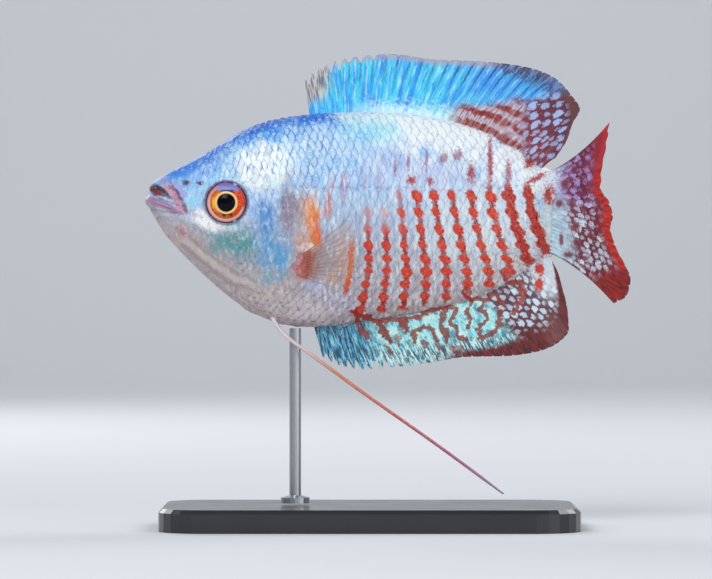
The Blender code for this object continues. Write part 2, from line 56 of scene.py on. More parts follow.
# The fish's own millimetres start at the snout: x to the tail, y to the far flank, z up. Each
# eye's middle lies at this x and z and this far out; the left one's place fits them to the solids.
EYE = (12.6, 3.35, -0.45)

eye_low, eye_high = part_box("eye_left")
SNOUT = (eye_low + eye_high) / 2 / MM
SNOUT = np.array([SNOUT.x - EYE[0], 0.0, SNOUT.z - EYE[2]])

camera_data = bpy.data.cameras.new("camera")
camera_data.sensor_width = SENSOR
camera_data.lens = SENSOR * CAMERA_DISTANCE / (PICTURE_WIDTH * MM_PER_PIXEL * MM)
camera = bpy.data.objects.new("camera", camera_data)
camera.location = (
    (SNOUT[0] + (PICTURE_WIDTH / 2 - SNOUT_PIXEL[0]) * MM_PER_PIXEL) * MM,
    -CAMERA_DISTANCE,
    (SNOUT[2] + (SNOUT_PIXEL[1] - PICTURE_HEIGHT / 2) * MM_PER_PIXEL) * MM,
)
camera.rotation_euler = (math.pi / 2, 0, 0)
bpy.context.scene.collection.objects.link(camera)
bpy.context.scene.camera = camera

# The table top is a plain pale sheet that sweeps up well behind the model. Two large soft lamps
# stand on the camera's side, one high and one low, and two small ones behind, so no side is dark;
# a fifth hangs over the sheet and lights its rise.
SHEET_WIDTH = 2.8
SHEET_FRONT = -1.3
SHEET_BACK = 1.05
SWEEP_RADIUS = 0.30
SWEEP_STEPS = 17
SHEET_TOP = 0.9
SHEET_COLOUR = (0.80, 0.81, 0.83, 1)
SHEET_ROUGHNESS = 0.85
# Each lamp: its place, width and power, and the place that it is turned to
FISH = (0, 0, SNOUT[2] * MM)
SHEET_RISE = (0, SHEET_BACK + SWEEP_RADIUS, 0.42)
LAMPS = (
    ("key_lamp", (-0.22, -0.50, 0.46), 0.34, 2.23, FISH),
    ("fill_lamp", (0.42, -0.52, 0.20), 0.45, 1.22, FISH),
    ("far_lamp", (-0.35, 0.50, 0.35), 0.40, 1.51, FISH),
    ("rim_lamp", (0.40, 0.30, 0.45), 0.30, 1.15, FISH),
    ("sheet_lamp", (0.0, 0.72, 0.85), 0.80, 3.0, SHEET_RISE),
)
AIR_COLOUR = (0.80, 0.87, 1.0, 1)
AIR_STRENGTH = 0.30


def link_mesh(name, points, faces, material=None, edges=()):
    """A mesh object at the origin from points in metres."""
    mesh = bpy.data.meshes.new(name)
    mesh.from_pydata(np.asarray(points, float).tolist(), edges, faces)
    thing = bpy.data.objects.new(name, mesh)
    bpy.context.scene.collection.objects.link(thing)
    if material:
        mesh.materials.append(material)
    mesh.shade_smooth()
    return thing


sweep = np.linspace(0, math.pi / 2, SWEEP_STEPS)
profile = [(SHEET_FRONT, 0.0)]
profile += [(SHEET_BACK + SWEEP_RADIUS * math.sin(a), SWEEP_RADIUS * (1 - math.cos(a))) for a in sweep]
profile += [(SHEET_BACK + SWEEP_RADIUS, SHEET_TOP)]
table_points = [(side * SHEET_WIDTH / 2, y, z) for y, z in profile for side in (-1, 1)]
table_faces = [(2 * i, 2 * i + 1, 2 * i + 3, 2 * i + 2) for i in range(len(profile) - 1)]
table_paint = bpy.data.materials.new("pale_sheet")
table_paint.use_nodes = True
table_shader = table_paint.node_tree.nodes["Principled BSDF"]
table_shader.inputs["Base Color"].default_value = SHEET_COLOUR
table_shader.inputs["Roughness"].default_value = SHEET_ROUGHNESS
table = link_mesh("table_sheet", table_points, table_faces, table_paint)

for lamp_name, place, size, power, target in LAMPS:
    lamp_data = bpy.data.lights.new(lamp_name, "AREA")
    lamp_data.size = size
    lamp_data.energy = power
    lamp = bpy.data.objects.new(lamp_name, lamp_data)
    lamp.location = place
    aim = Vector(target) - lamp.location
    lamp.rotation_euler = aim.to_track_quat("-Z", "Y").to_euler()
    bpy.context.scene.collection.objects.link(lamp)
air = bpy.data.worlds.new("air")
air.use_nodes = True
air_glow = air.node_tree.nodes["Background"]
air_glow.inputs["Color"].default_value = AIR_COLOUR
air_glow.inputs["Strength"].default_value = AIR_STRENGTH
bpy.context.scene.world = air
bpy.context.scene.view_settings.view_transform = "Standard"


# Skin: one closed hide over head, gill covers, body and tail stalk. The lips, nostrils, jaw fold,
# orbit rims and gill cover edges are raised or sunk in it. It is living skin with a wet gloss;
# the blue is a reflecting layer under clear slime.

# Body outline, snout to tail: x, back, belly, half width, share of height at which it is widest,
# and how full the section is above and below that level
STATIONS = (
    (0.8, 2.2, -1.5, 0.9, 0.55, 0.9, 0.9),
    (2.3, 3.4, -4.1, 1.6, 0.55, 0.9, 0.9),
    (5.4, 5.1, -7.9, 2.7, 0.56, 0.85, 0.95),
    (10.0, 7.6, -12.4, 3.8, 0.57, 0.8, 1.0),
    (16.0, 11.0, -17.0, 4.8, 0.54, 0.85, 0.9),
    (22.3, 12.75, -19.3, 5.4, 0.51, 0.95, 0.85),
    (31.5, 13.5, -19.0, 5.4, 0.50, 1.0, 1.0),
    (43.8, 12.8, -17.1, 4.4, 0.50, 1.1, 1.15),
    (53.0, 10.1, -14.3, 3.0, 0.50, 1.15, 1.2),
    (58.0, 7.0, -11.3, 2.1, 0.50, 1.1, 1.1),
    (60.9, 4.9, -9.2, 1.5, 0.50, 1.0, 1.0),
    (63.0, 4.6, -8.4, 1.1, 0.50, 1.0, 1.0),
)
SNOUT_X = 0.8
TAIL_BASE = 62.6
THIN_FROM = 60.0
THINNED = 0.62
SWING_START = 54.0
SWING_END = 68.0
SWING_SLOPE = 0.82
HEAD_STEP = 0.2
BODY_STEP = 0.36
FINE_UNTIL = 26.0
RING_POINTS = 288
GIRTH_STEPS = 60
SNOUT_RINGS = (0.15, 0.4, 0.65, 0.85)

# Each lip: x, y and z at the front and at the mouth's corner, and its radius at both
UPPER_LIP = ((1.75, 1.75), (6.1, 2.55, -0.9), (1.0, 0.4))
LOWER_LIP = ((1.02, -0.15), (6.0, 2.55, -1.8), (1.0, 0.4))
LIP_REACH = 8.0
LIP_BLEND = 0.45
LIP_POINTS = 161
# How fast x, z and the radius of a lip change towards the mouth's corner
LIP_BENDS = (1.9, 1.3, 1.5)
# The lips are found from outside: where the search starts, its number of steps, and their share
LIP_OUTSIDE = 2.4
LIP_TRIES = 26
LIP_STRIDE = 0.6
# Each nostril: x, z and radius
NOSTRILS = ((6.3, 2.6, 0.42), (8.6, 2.5, 0.34))
NOSTRIL_DEPTH = 0.4
NOSTRIL_RIM = 0.08
JAW_FOLD = ((3.8, 2.5), (4.8, 1.2), (5.8, -1.1), (6.5, -1.9))
FOLD_HALF = 0.22
FOLD_DEPTH = 0.22
EYE_TURN = math.radians(10)
ORBIT_RADIUS = 3.1
ORBIT_LIP = 0.12
ORBIT_FLOOR = 2.2
ORBIT_WALL = 0.65
# The gill cover's outline in side view; its raised rear edge runs from the second place on
GILL_COVER = (
    (17.6, 4.0), (21.5, 3.6), (23.0, 2.2), (23.4, -2.0), (23.6, -6.0), (22.8, -10.0), (20.6, -13.0),
    (16.4, -14.0), (13.6, -11.4), (13.3, -7.8), (15.3, -4.6), (16.9, -1.2),
)
COVER_REAR_EDGE = slice(1, 8)
COVER_RAISE = 0.20
COVER_SLOPE = 3.5
COVER_GROOVE = 0.16
GROOVE_WIDTH = 0.9
COVER_FADE = (-15.0, -9.0)


def natural_spline(xs, ys):
    """The smoothest curve through the points, as a function of x."""
    xs, ys = np.array(xs, float), np.array(ys, float)
    step, rise = np.diff(xs), np.diff(ys)
    n = len(xs)
    matrix, target = np.eye(n), np.zeros(n)
    for i in range(1, n - 1):
        matrix[i, i - 1:i + 2] = step[i - 1], 2 * (step[i - 1] + step[i]), step[i]
        target[i] = 3 * (rise[i] / step[i] - rise[i - 1] / step[i - 1])
    c = np.linalg.solve(matrix, target)
    b = rise / step - step * (2 * c[:-1] + c[1:]) / 3
    d = np.diff(c) / (3 * step)

    def value(x):
        i = np.clip(np.searchsorted(xs, x) - 1, 0, n - 2)
        t = np.asarray(x, float) - xs[i]
        return ys[i] + t * (b[i] + t * (c[i] + t * d[i]))

    return value


columns = list(zip(*STATIONS))
back, belly, widest_half, widest_share, full_above, full_below = (
    natural_spline(columns[0], column) for column in columns[1:]
)


def swing(x):
    """How far the midline has swung to the far side at x, and its slope there."""
    share = np.clip((np.asarray(x, float) - SWING_START) / (SWING_END - SWING_START), 0, 1)
    past = np.maximum(0, np.asarray(x, float) - SWING_END)
    swung = (SWING_END - SWING_START) * (share**3 - share**4 / 2) + past
    return SWING_SLOPE * swung, SWING_SLOPE * share**2 * (3 - 2 * share)


def bend(points):
    """Carries points of the straight fish onto its curved midline."""
    x, y, z = points[:, 0], points[:, 1], points[:, 2]
    across, slope = swing(x)
    length = np.hypot(1, slope)
    return np.stack([x - y * slope / length, across + y / length, z], 1)


def bend_direction(x, directions):
    """Turns directions at x as the midline turns there."""
    slope = swing(x)[1]
    length = np.hypot(1, slope)
    dx, dy, dz = directions.T
    return np.stack([(dx - dy * slope) / length, (dx * slope + dy) / length, dz], 1)


def half_width(x, z):
    """Half the body's width at a place in side view."""
    top, low = back(x), belly(x)
    level = low + widest_share(x) * (top - low)
    above = z > level
    share = np.where(above, (z - level) / (top - level), (level - z) / (level - low))
    full = np.where(above, full_above(x), full_below(x))
    thinned = 1 - THINNED * rise(x, THIN_FROM, TAIL_BASE)
    return thinned * widest_half(x) * np.clip(1 - share**2, 0, 1) ** (full / 2)


def to_world(points):
    """Fish millimetres to the frame's metres."""
    return (np.asarray(points, float) + SNOUT) * MM


def rise(value, low, high):
    """0 below low, 1 above high and smooth between; it falls where high is the smaller."""
    share = np.clip((value - low) / (high - low), 0, 1)
    return share * share * (3 - 2 * share)


def grid_normals(points):
    """Unit normals of a grid of points whose rows are closed rings, facing out."""
    along = np.gradient(points, axis=0)
    around = np.roll(points, -1, 1) - np.roll(points, 1, 1)
    normal = np.cross(around, along)
    normal /= np.maximum(np.linalg.norm(normal, axis=2, keepdims=True), 1e-9)
    return normal


def line_distance(x, z, line):
    """Distance in side view from each place to a line of straight runs."""
    best = np.full(np.shape(x), np.inf)
    for (ax, az), (bx, bz) in zip(line[:-1], line[1:]):
        length = (bx - ax) ** 2 + (bz - az) ** 2
        t = np.clip(((x - ax) * (bx - ax) + (z - az) * (bz - az)) / length, 0, 1)
        best = np.minimum(best, np.hypot(x - ax - t * (bx - ax), z - az - t * (bz - az)))
    return best


def inside_outline(x, z, outline):
    """True where a place lies inside a closed outline in side view."""
    inside = np.zeros(np.shape(x), bool)
    for (ax, az), (bx, bz) in zip(outline, outline[1:] + outline[:1]):
        crosses = (az > z) != (bz > z)
        inside ^= crosses & (x < ax + (z - az) * (bx - ax) / (bz - az + 1e-12))
    return inside


def lip_line(shape):
    """Points along a lip from the right corner round the front to the left, and its radius."""
    front, corner, radii = shape
    along = np.linspace(-1, 1, LIP_POINTS)
    by_x, by_z, by_radius = (np.abs(along) ** bend_power for bend_power in LIP_BENDS)
    x = front[0] + (corner[0] - front[0]) * by_x
    y = corner[1] * np.sin(along * math.pi / 2)
    z = front[1] + (corner[2] - front[1]) * by_z
    return np.stack([x, y, z], 1), radii[0] + (radii[1] - radii[0]) * by_radius


def raise_lips(points, normals):
    """Moves skin near the mouth outwards onto the lips, with a smooth join and a crease between."""
    lips = [lip_line(shape) for shape in (UPPER_LIP, LOWER_LIP)]
    out = np.full(len(points), LIP_OUTSIDE)
    for _ in range(LIP_TRIES):
        place = points + normals * out[:, None]
        reach = out
        for line, radius in lips:
            gap = np.linalg.norm(place[:, None] - line[None], axis=2) - radius
            gap = gap.min(1)
            mix = np.clip(0.5 + 0.5 * (reach - gap) / LIP_BLEND, 0, 1)
            reach = reach + (gap - reach) * mix - LIP_BLEND * mix * (1 - mix) * 0.5
        out = np.maximum(out - LIP_STRIDE * reach, 0)
    return points + normals * out[:, None]


def skin_points():
    """Rings of skin from the snout back, in fish millimetres, on the straight fish."""
    angles = np.linspace(0, 2 * math.pi, RING_POINTS, endpoint=False)
    head, rest = np.arange(SNOUT_X, FINE_UNTIL, HEAD_STEP), np.arange(FINE_UNTIL, TAIL_BASE, BODY_STEP)
    sections = np.concatenate([head, rest])
    x = np.repeat(sections[:, None], RING_POINTS, 1)
    top, low = back(x), belly(x)
    z = (top + low) / 2 + (top - low) / 2 * np.cos(angles)
    y = half_width(x, z) * -np.sign(np.round(np.sin(angles), 6))
    body = np.stack([x, y, z], 2)
    middle = np.array([SNOUT_X, 0, (back(SNOUT_X) + belly(SNOUT_X)) / 2])
    nose = [middle + (body[0] - middle) * share for share in SNOUT_RINGS]
    return np.concatenate([np.stack(nose), body])


def sink_and_raise(points):
    """Gives the plain skin its face: lips, orbits, nostrils, jaw fold and gill cover edges."""
    normals = grid_normals(points)
    normals[:len(SNOUT_RINGS)] = (-1, 0, 0)
    x, y, z = points[..., 0], points[..., 1], points[..., 2]
    move = np.zeros(x.shape)

    edge = line_distance(x, z, GILL_COVER[COVER_REAR_EDGE])
    inside = inside_outline(x, z, list(GILL_COVER))
    fade = rise(z, *COVER_FADE)
    rim = np.where(inside, rise(edge, COVER_SLOPE, 0.1), 0) * fade
    move += COVER_RAISE * rim - COVER_GROOVE * fade * np.where(inside, 0, rise(edge, GROOVE_WIDTH, 0.1))

    fold = line_distance(x, z, JAW_FOLD)
    move -= FOLD_DEPTH * rise(fold, FOLD_HALF * 2, 0) * (np.abs(y) > 0.8)
    for nostril_x, nostril_z, radius in NOSTRILS:
        reach = np.hypot(x - nostril_x, z - nostril_z)
        move -= NOSTRIL_DEPTH * rise(reach, radius, radius * 0.3)
        move += NOSTRIL_RIM * rise(np.abs(reach - radius * 1.25), 0.3, 0)

    reach = np.hypot(x - EYE[0], z - EYE[2])
    move += ORBIT_LIP * rise(np.abs(reach - ORBIT_RADIUS - 0.35), 0.4, 0)
    points = points + normals * move[..., None]
    sunk = rise(reach, ORBIT_RADIUS, ORBIT_RADIUS - ORBIT_WALL)
    points[..., 1] = np.where(sunk > 0, y + (np.sign(y) * ORBIT_FLOOR - y) * sunk, points[..., 1])

    near = points[..., 0] < LIP_REACH
    points[near] = raise_lips(points[near], normals[near])
    return points


class Wire:
    """A socket in a node tree. Sums with wires add Math nodes, and node() adds any other."""

    def __init__(self, tree, socket=None):
        self.tree = tree
        self.socket = socket

    def node(self, kind, settings=None, values=None, output=0):
        """Adds a node with its settings and the values or links of its sockets; gives one output."""
        made = self.tree.nodes.new(kind)
        for name, value in (settings or {}).items():
            if name == "stops":
                ramp = made.color_ramp
                while len(ramp.elements) < len(value):
                    ramp.elements.new(1.0)
                for element, (place, colour) in zip(ramp.elements, value):
                    element.position = place
                    element.color = colour
            else:
                setattr(made, name, value)
        for place, value in (values or {}).items():
            if isinstance(value, Wire):
                self.tree.links.new(value.socket, made.inputs[place])
            else:
                made.inputs[place].default_value = value
        return None if output is None else Wire(self.tree, made.outputs[output])

    def maths(self, operation, *values):
        """A Math operation on the values, in their order."""
        return self.node("ShaderNodeMath", {"operation": operation}, dict(enumerate(values)))

    def vector(self, operation, values, output=0):
        """A Vector Math operation on the values of its sockets."""
        return self.node("ShaderNodeVectorMath", {"operation": operation}, values, output)

    def part(self, axis):
        """X, Y or Z of a vector."""
        return self.node("ShaderNodeSeparateXYZ", {}, {"Vector": self}, axis)

    def of(self, operation):
        """A Math operation that takes this value alone."""
        return self.maths(operation, self)

    def __add__(self, other):
        return self.maths("ADD", self, other)

    def __sub__(self, other):
        return self.maths("SUBTRACT", self, other)

    def __rsub__(self, other):
        return self.maths("SUBTRACT", other, self)

    def __mul__(self, other):
        return self.maths("MULTIPLY", self, other)

    def __truediv__(self, other):
        return self.maths("DIVIDE", self, other)

    def __abs__(self):
        return self.of("ABSOLUTE")

    __radd__ = __add__
    __rmul__ = __mul__

    def most(self, other):
        """The larger of the two."""
        return self.maths("MAXIMUM", self, other)

    def least(self, other):
        """The smaller of the two."""
        return self.maths("MINIMUM", self, other)

    def off_whole(self):
        """How far a value is from the nearest whole number."""
        return self - self.of("ROUND")

    def rise(self, low, high):
        """0 below low, 1 above high and smooth between; it falls where high is the smaller."""
        ends = {"Value": self, "From Min": low, "From Max": high}
        return self.node("ShaderNodeMapRange", {"interpolation_type": "SMOOTHSTEP"}, ends)


def new_finish(name):
    """A material with nothing in it yet, and a wire to start from."""
    material = bpy.data.materials.new(name)
    material.use_nodes = True
    material.node_tree.nodes.clear()
    return material, Wire(material.node_tree)


def light(red, green, blue):
    """A screen colour, 0 to 255, as the light that a paint gives back."""
    shares = [value / 255 for value in (red, green, blue)]
    return tuple(s / 12.92 if s < 0.04 else ((s + 0.055) / 1.055) ** 2.4 for s in shares) + (1.0,)


def tint(share, under, over):
    """Lays one colour over another where share is 1."""
    some = next(v for v in (share, under, over) if isinstance(v, Wire))
    return some.node("ShaderNodeMix", {"data_type": "RGBA"}, {0: share, 6: under, 7: over}, 2)


def grain(place, scale, detail=2.0, stretch=(1, 1, 1)):
    """Even noise about 0.5 from a place in millimetres; stretch lengthens it along an axis."""
    moved = place.node("ShaderNodeMapping", {}, {"Vector": place, "Scale": tuple(scale / s for s in stretch)})
    return place.node("ShaderNodeTexNoise", {}, {"Vector": moved, "Scale": 1.0, "Detail": detail})


def fish_place(start):
    """The place on the fish in millimetres from the snout, as one wire and as x and z."""
    metres = start.node("ShaderNodeTexCoord", {}, {}, "Object")
    place = start.node("ShaderNodeMapping", {"vector_type": "POINT"}, {
        "Vector": metres, "Scale": (1 / MM,) * 3, "Location": tuple(-SNOUT),
    })
    return place, place.part("X"), place.part("Z")


def attribute(start, name, output="Fac"):
    """A number, or as Vector a place, that the mesh carries, by its name."""
    return start.node("ShaderNodeAttribute", {"attribute_name": name}, {}, output)


def end_finish(start, colour, roughness, relief=None, depth=0.05, **constants):
    """The shader that ends a finish. Constants go on its own sockets, by their names."""
    values = {"Base Color": colour, "Roughness": roughness}
    values.update({name.replace("_", " "): value for name, value in constants.items()})
    if relief is not None:
        values["Normal"] = start.node("ShaderNodeBump", {}, {"Height": relief, "Distance": depth * MM})
    shader = start.node("ShaderNodeBsdfPrincipled", {}, values)
    start.node("ShaderNodeOutputMaterial", {}, {"Surface": shader}, None)


# Body colours by height, from belly to back
HEIGHT_COLOURS = (
    (0.00, light(190, 168, 166)), (0.12, light(174, 162, 170)), (0.30, light(164, 164, 176)),
    (0.50, light(176, 196, 222)), (0.68, light(172, 212, 246)), (0.84, light(128, 206, 250)),
    (0.94, light(72, 166, 244)), (1.00, light(32, 116, 226)),
)
# Patches: colour, strength, x, z, half length, half height, fall per millimetre back, soft edge
PATCHES = (
    (light(212, 226, 232), 0.85, 52.0, -3.0, 15.0, 11.0, 0.0, 0.8),
    (light(206, 206, 240), 0.60, 41.0, 4.6, 13.0, 5.0, -0.1, 0.9),
    # The next two, white along the upper back, are painted highlight: light from above glaring off the back.
    (light(246, 253, 253), 1.00, 44.0, 11.4, 18.0, 5.4, -0.20, 0.6),
    (light(244, 249, 251), 1.00, 58.0, 5.4, 9.0, 5.4, -0.3, 0.6),
    (light(186, 220, 250), 0.80, 27.0, 8.0, 10.0, 4.8, 0.0, 0.9),
    (light(166, 242, 250), 0.80, 35.0, 10.6, 6.5, 2.4, -0.05, 0.9),
    (light(104, 168, 240), 0.80, 10.0, 4.8, 6.0, 2.4, 0.45, 0.8),
    (light(54, 132, 230), 0.85, 7.5, 5.4, 6.0, 1.4, 0.55, 0.7),
    (light(38, 110, 216), 0.75, 17.0, 11.2, 9.5, 1.5, 0.38, 0.7),
    (light(214, 244, 248), 0.95, 16.0, 5.0, 5.6, 4.2, 0.3, 0.9),
    (light(244, 255, 253), 1.00, 18.2, 4.6, 4.8, 4.8, 0.1, 0.6),
    (light(150, 216, 248), 0.95, 7.2, 0.0, 2.0, 2.3, 0.0, 0.9),
    (light(176, 206, 244), 0.80, 17.0, -1.0, 2.4, 3.0, 0.0, 0.8),
    # The next two, on the lower head, are its own tan-grey lightened as painted light against the shade
    # beneath.
    (light(184, 170, 168), 0.95, 9.5, -9.8, 8.0, 5.0, -0.75, 0.7),
    (light(188, 174, 172), 0.85, 18.0, -14.0, 8.0, 4.6, 0.0, 0.8),
    (light(84, 152, 158), 1.00, 13.8, -6.0, 5.2, 4.2, -0.2, 0.9),
    (light(70, 146, 210), 1.00, 18.6, -3.8, 2.3, 5.2, 0.0, 0.9),
    (light(82, 160, 212), 1.00, 20.0, -8.4, 3.4, 5.0, 0.1, 0.9),
    (light(126, 172, 190), 0.75, 18.4, -12.0, 3.6, 1.6, 0.0, 0.9),
    (light(252, 252, 252), 1.00, 9.6, -3.3, 4.6, 1.6, -0.36, 0.7),
    (light(200, 232, 238), 0.85, 13.4, -4.3, 2.4, 0.8, -0.1, 0.8),
    (light(178, 96, 120), 0.85, 6.0, -5.0, 1.0, 0.9, -0.8, 0.9),
    (light(136, 110, 130), 0.85, 22.2, -1.4, 2.0, 5.4, 0.0, 0.9),
    (light(176, 142, 130), 0.90, 24.3, -1.4, 1.5, 5.4, 0.0, 0.9),
    (light(240, 138, 20), 1.00, 25.8, -3.2, 1.5, 5.6, 0.0, 0.8),
    (light(232, 108, 8), 0.95, 26.5, -5.0, 1.1, 3.4, 0.0, 0.8),
    (light(198, 158, 140), 0.85, 23.8, -6.6, 1.2, 2.4, 0.0, 0.8),
    (light(246, 240, 232), 0.95, 25.2, -7.6, 1.3, 0.9, 0.0, 0.6),
    (light(192, 88, 76), 0.95, 24.2, -10.2, 1.9, 3.4, 0.2, 0.8),
    (light(214, 124, 110), 0.85, 28.2, -0.4, 0.9, 3.6, 0.0, 0.9),
    (light(184, 122, 160), 0.70, 30.4, 1.6, 0.7, 3.6, 0.0, 0.9),
    (light(160, 128, 168), 0.65, 34.4, -4.4, 0.9, 2.4, 0.0, 0.9),
    (light(190, 196, 228), 0.85, 26.6, -12.8, 2.6, 1.6, 0.0, 0.8),
    (light(222, 148, 70), 0.80, 28.6, -11.8, 0.8, 1.3, 0.0, 0.8),
    (light(196, 190, 214), 0.60, 30.4, -16.0, 4.0, 2.4, 0.0, 0.9),
    # Pale under the throat: the belly's own pale tone, lightened as painted light against the shade beneath.
    (light(222, 208, 212), 0.75, 25.0, -17.4, 6.0, 2.4, 0.0, 0.9),
    (light(212, 148, 124), 0.60, 30.4, -9.4, 1.7, 4.4, 0.0, 0.9),
    (light(226, 238, 242), 0.90, 62.6, -4.4, 2.8, 4.6, 0.0, 0.8),
)
LIP_PATCHES = (
    (light(150, 190, 244), 1.00, 1.8, 3.0, 2.2, 0.7, 0.35, 0.6),
    # The next three, dark maroon and red over the upper lip and the gap below it, are the lip's own maroon
    # with painted shade of the gape.
    (light(84, 20, 40), 1.00, 2.0, 1.5, 2.1, 0.95, -0.30, 0.5),
    (light(140, 34, 34), 0.90, 1.7, 1.0, 0.9, 0.55, -0.1, 0.7),
    (light(96, 24, 52), 0.85, 3.4, 0.6, 1.3, 0.35, -0.55, 0.6),
    (light(168, 124, 160), 0.95, 3.0, -0.9, 3.4, 0.85, -0.42, 0.5),
    (light(120, 70, 110), 0.85, 3.2, -1.05, 1.6, 0.16, -0.35, 0.6),
    (light(210, 212, 224), 0.85, 3.0, -1.9, 1.5, 0.6, -0.3, 0.6),
)
# Lines by the mouth, as colour, strength, half width and places: the hind jaw bone, the fold behind
# it, the line between the nostrils, and the creases that run from the chin along the cheek
LIP_LINES = (
    (light(196, 140, 172), 0.80, 0.80, ((3.0, 2.6), (4.4, 1.7), (5.2, 0.2), (5.6, -1.7))),
    (light(214, 120, 116), 0.70, 0.40, ((3.6, 1.8), (4.6, 0.6), (5.0, -0.8))),
    (light(160, 150, 224), 0.75, 0.50, ((4.2, 2.9), (5.6, 1.9), (6.3, 0.6))),
    # The dark maroon line along the sunk jaw fold is maroon skin with painted shade of the fold.
    (light(124, 44, 84), 0.80, 0.40, ((3.9, 2.3), (5.2, 1.0), (5.9, -0.6), (6.4, -2.1))),
    (light(140, 90, 140), 0.40, 0.26, ((6.4, 2.7), (8.6, 2.5), (10.2, 2.9))),
    (light(140, 120, 116), 0.45, 0.50, ((6.0, -7.0), (9.0, -9.6), (12.6, -12.4), (16.4, -14.0))),
    (light(146, 126, 120), 0.40, 0.40, ((6.6, -5.6), (10.0, -8.4), (13.2, -10.8), (17.0, -12.6))),
    (light(212, 200, 192), 0.55, 0.60, ((6.2, -6.3), (9.4, -9.0), (13.0, -11.6), (16.8, -13.3))),
    (light(156, 142, 128), 0.35, 0.34, ((14.0, -9.9), (17.2, -11.0), (21.0, -11.2))),
)
NOSTRIL_COLOUR = light(118, 58, 100)
ORBIT_COLOUR = light(92, 66, 110)
# Painted shade on the orbit's sunk wall round the eye
ORBIT_WALL_PAINTED_SHADE = light(40, 26, 52)

# Bars: x of the first, their distance, the level where they stand upright, and their lean
BAR_START = 29.36
BAR_PITCH = 2.352
BAR_GROWTH = 0.034
BAR_LEVEL = -2.0
LEAN_ABOVE = 0.15
LEAN_AT = 33.0
LEAN_GROWTH = 0.0135
DEEP_LEVEL = -10.5
DEEP_BEND = 0.17
ROW_PITCH = 2.56
LOW_LEVEL = -7.0
LOW_GROWTH = 0.123
DOT_HALF = (0.255, 0.315)
DOT_COLOURS = (light(212, 52, 28), light(178, 26, 14))
NECK_COLOUR = light(158, 42, 34)
# Single marks above and behind the bars: x, z, half length, half height, fall, and how red or violet
RED_MARKS = (
    (62.0, 0.8, 0.85, 1.6, 0.0, 1.0), (59.2, 6.0, 0.95, 1.2, 0.0, 1.0), (60.2, 3.4, 1.6, 0.55, 0.5, 0.9),
    (55.8, 4.2, 0.45, 2.3, 0.0, 0.6), (53.0, 6.0, 0.42, 4.2, 0.0, 0.8), (50.1, 4.0, 0.60, 1.7, 0.0, 0.8),
    (48.0, 6.8, 0.75, 1.0, 0.0, 0.3), (45.8, 6.4, 0.65, 0.9, 0.0, 0.3), (43.8, 2.8, 0.60, 0.65, 0.0, 0.8),
    (43.2, 6.1, 0.26, 1.9, 0.0, 0.2), (40.9, 2.9, 0.70, 0.70, 0.0, 0.9), (40.4, 5.7, 0.28, 1.4, 0.0, 0.2),
    (38.4, 4.8, 0.22, 1.7, 0.0, 0.2), (57.6, 8.2, 0.90, 0.6, -0.4, 0.7), (55.2, 9.0, 0.75, 0.6, -0.4, 0.7),
)
VIOLET_MARK = light(150, 84, 130)
# Painted lines at the belly that run on over the anal fin: half width, then x and z of the places
FOOT_LINES = (
    (0.46, ((31.8, -17.2), (35.8, -18.7), (39.8, -18.4), (42.9, -17.4), (47.0, -16.7))),
    (0.42, ((49.3, -13.8), (49.7, -15.4), (52.1, -15.1), (53.6, -14.5), (54.9, -16.1))),
    (0.44, ((55.1, -10.9), (55.9, -12.7), (57.8, -12.8), (58.1, -14.5), (57.3, -16.1), (56.3, -17.4))),
    (0.50, ((32.3, -17.0), (32.6, -18.7))),
)
BAR_GOLD = light(236, 220, 160)


def patch(x, z, wobble, at_x, at_z, half_x, half_z, fall, soft):
    """A soft-edged oval of colour, as a share from 0 to 1."""
    along = (x - at_x) / half_x
    up = (z - at_z - (x - at_x) * fall) / half_z
    reach = (along * along + up * up).of("SQRT")
    return (reach + wobble).rise(1.1, 1.1 - soft)


def lay_patches(colour, x, z, wobble, patches):
    """Lays a table's patches over a colour, one after another."""
    for shade, strength, *shape in patches:
        colour = tint(patch(x, z, wobble, *shape) * strength, colour, shade)
    return colour


def drift(place, scale, reach):
    """The place moved about by slow noise, up to about half of reach, so that painted lines waver."""
    moved = place.node("ShaderNodeTexNoise", {}, {"Vector": place, "Scale": scale, "Detail": 2.0}, "Color")
    off = place.vector("SUBTRACT", {0: moved, 1: (0.5,) * 3})
    return place.vector("MULTIPLY_ADD", {0: off, 1: (2 * reach,) * 3, 2: place})


def stroke(place, wobble, half, line, soft=0.5):
    """A painted line through places in side view, as a share from 0 to 1; half is half its width."""
    best = None
    for (ax, az), (bx, bz) in zip(line[:-1], line[1:]):
        run = (bx - ax, 0.0, bz - az)
        flat = place.vector("MULTIPLY_ADD", {0: place, 1: (1, 0, 1), 2: (-ax, 0, -az)})
        along = place.vector("DOT_PRODUCT", {0: flat, 1: run}, "Value")
        share = (along / (run[0] ** 2 + run[2] ** 2)).most(0).least(1)
        reached = place.vector("SCALE", {0: run, "Scale": share})
        off = place.vector("DISTANCE", {0: flat, 1: reached}, "Value")
        best = off if best is None else best.least(off)
    return (best / half + wobble).rise(1.1, 1.1 - soft)


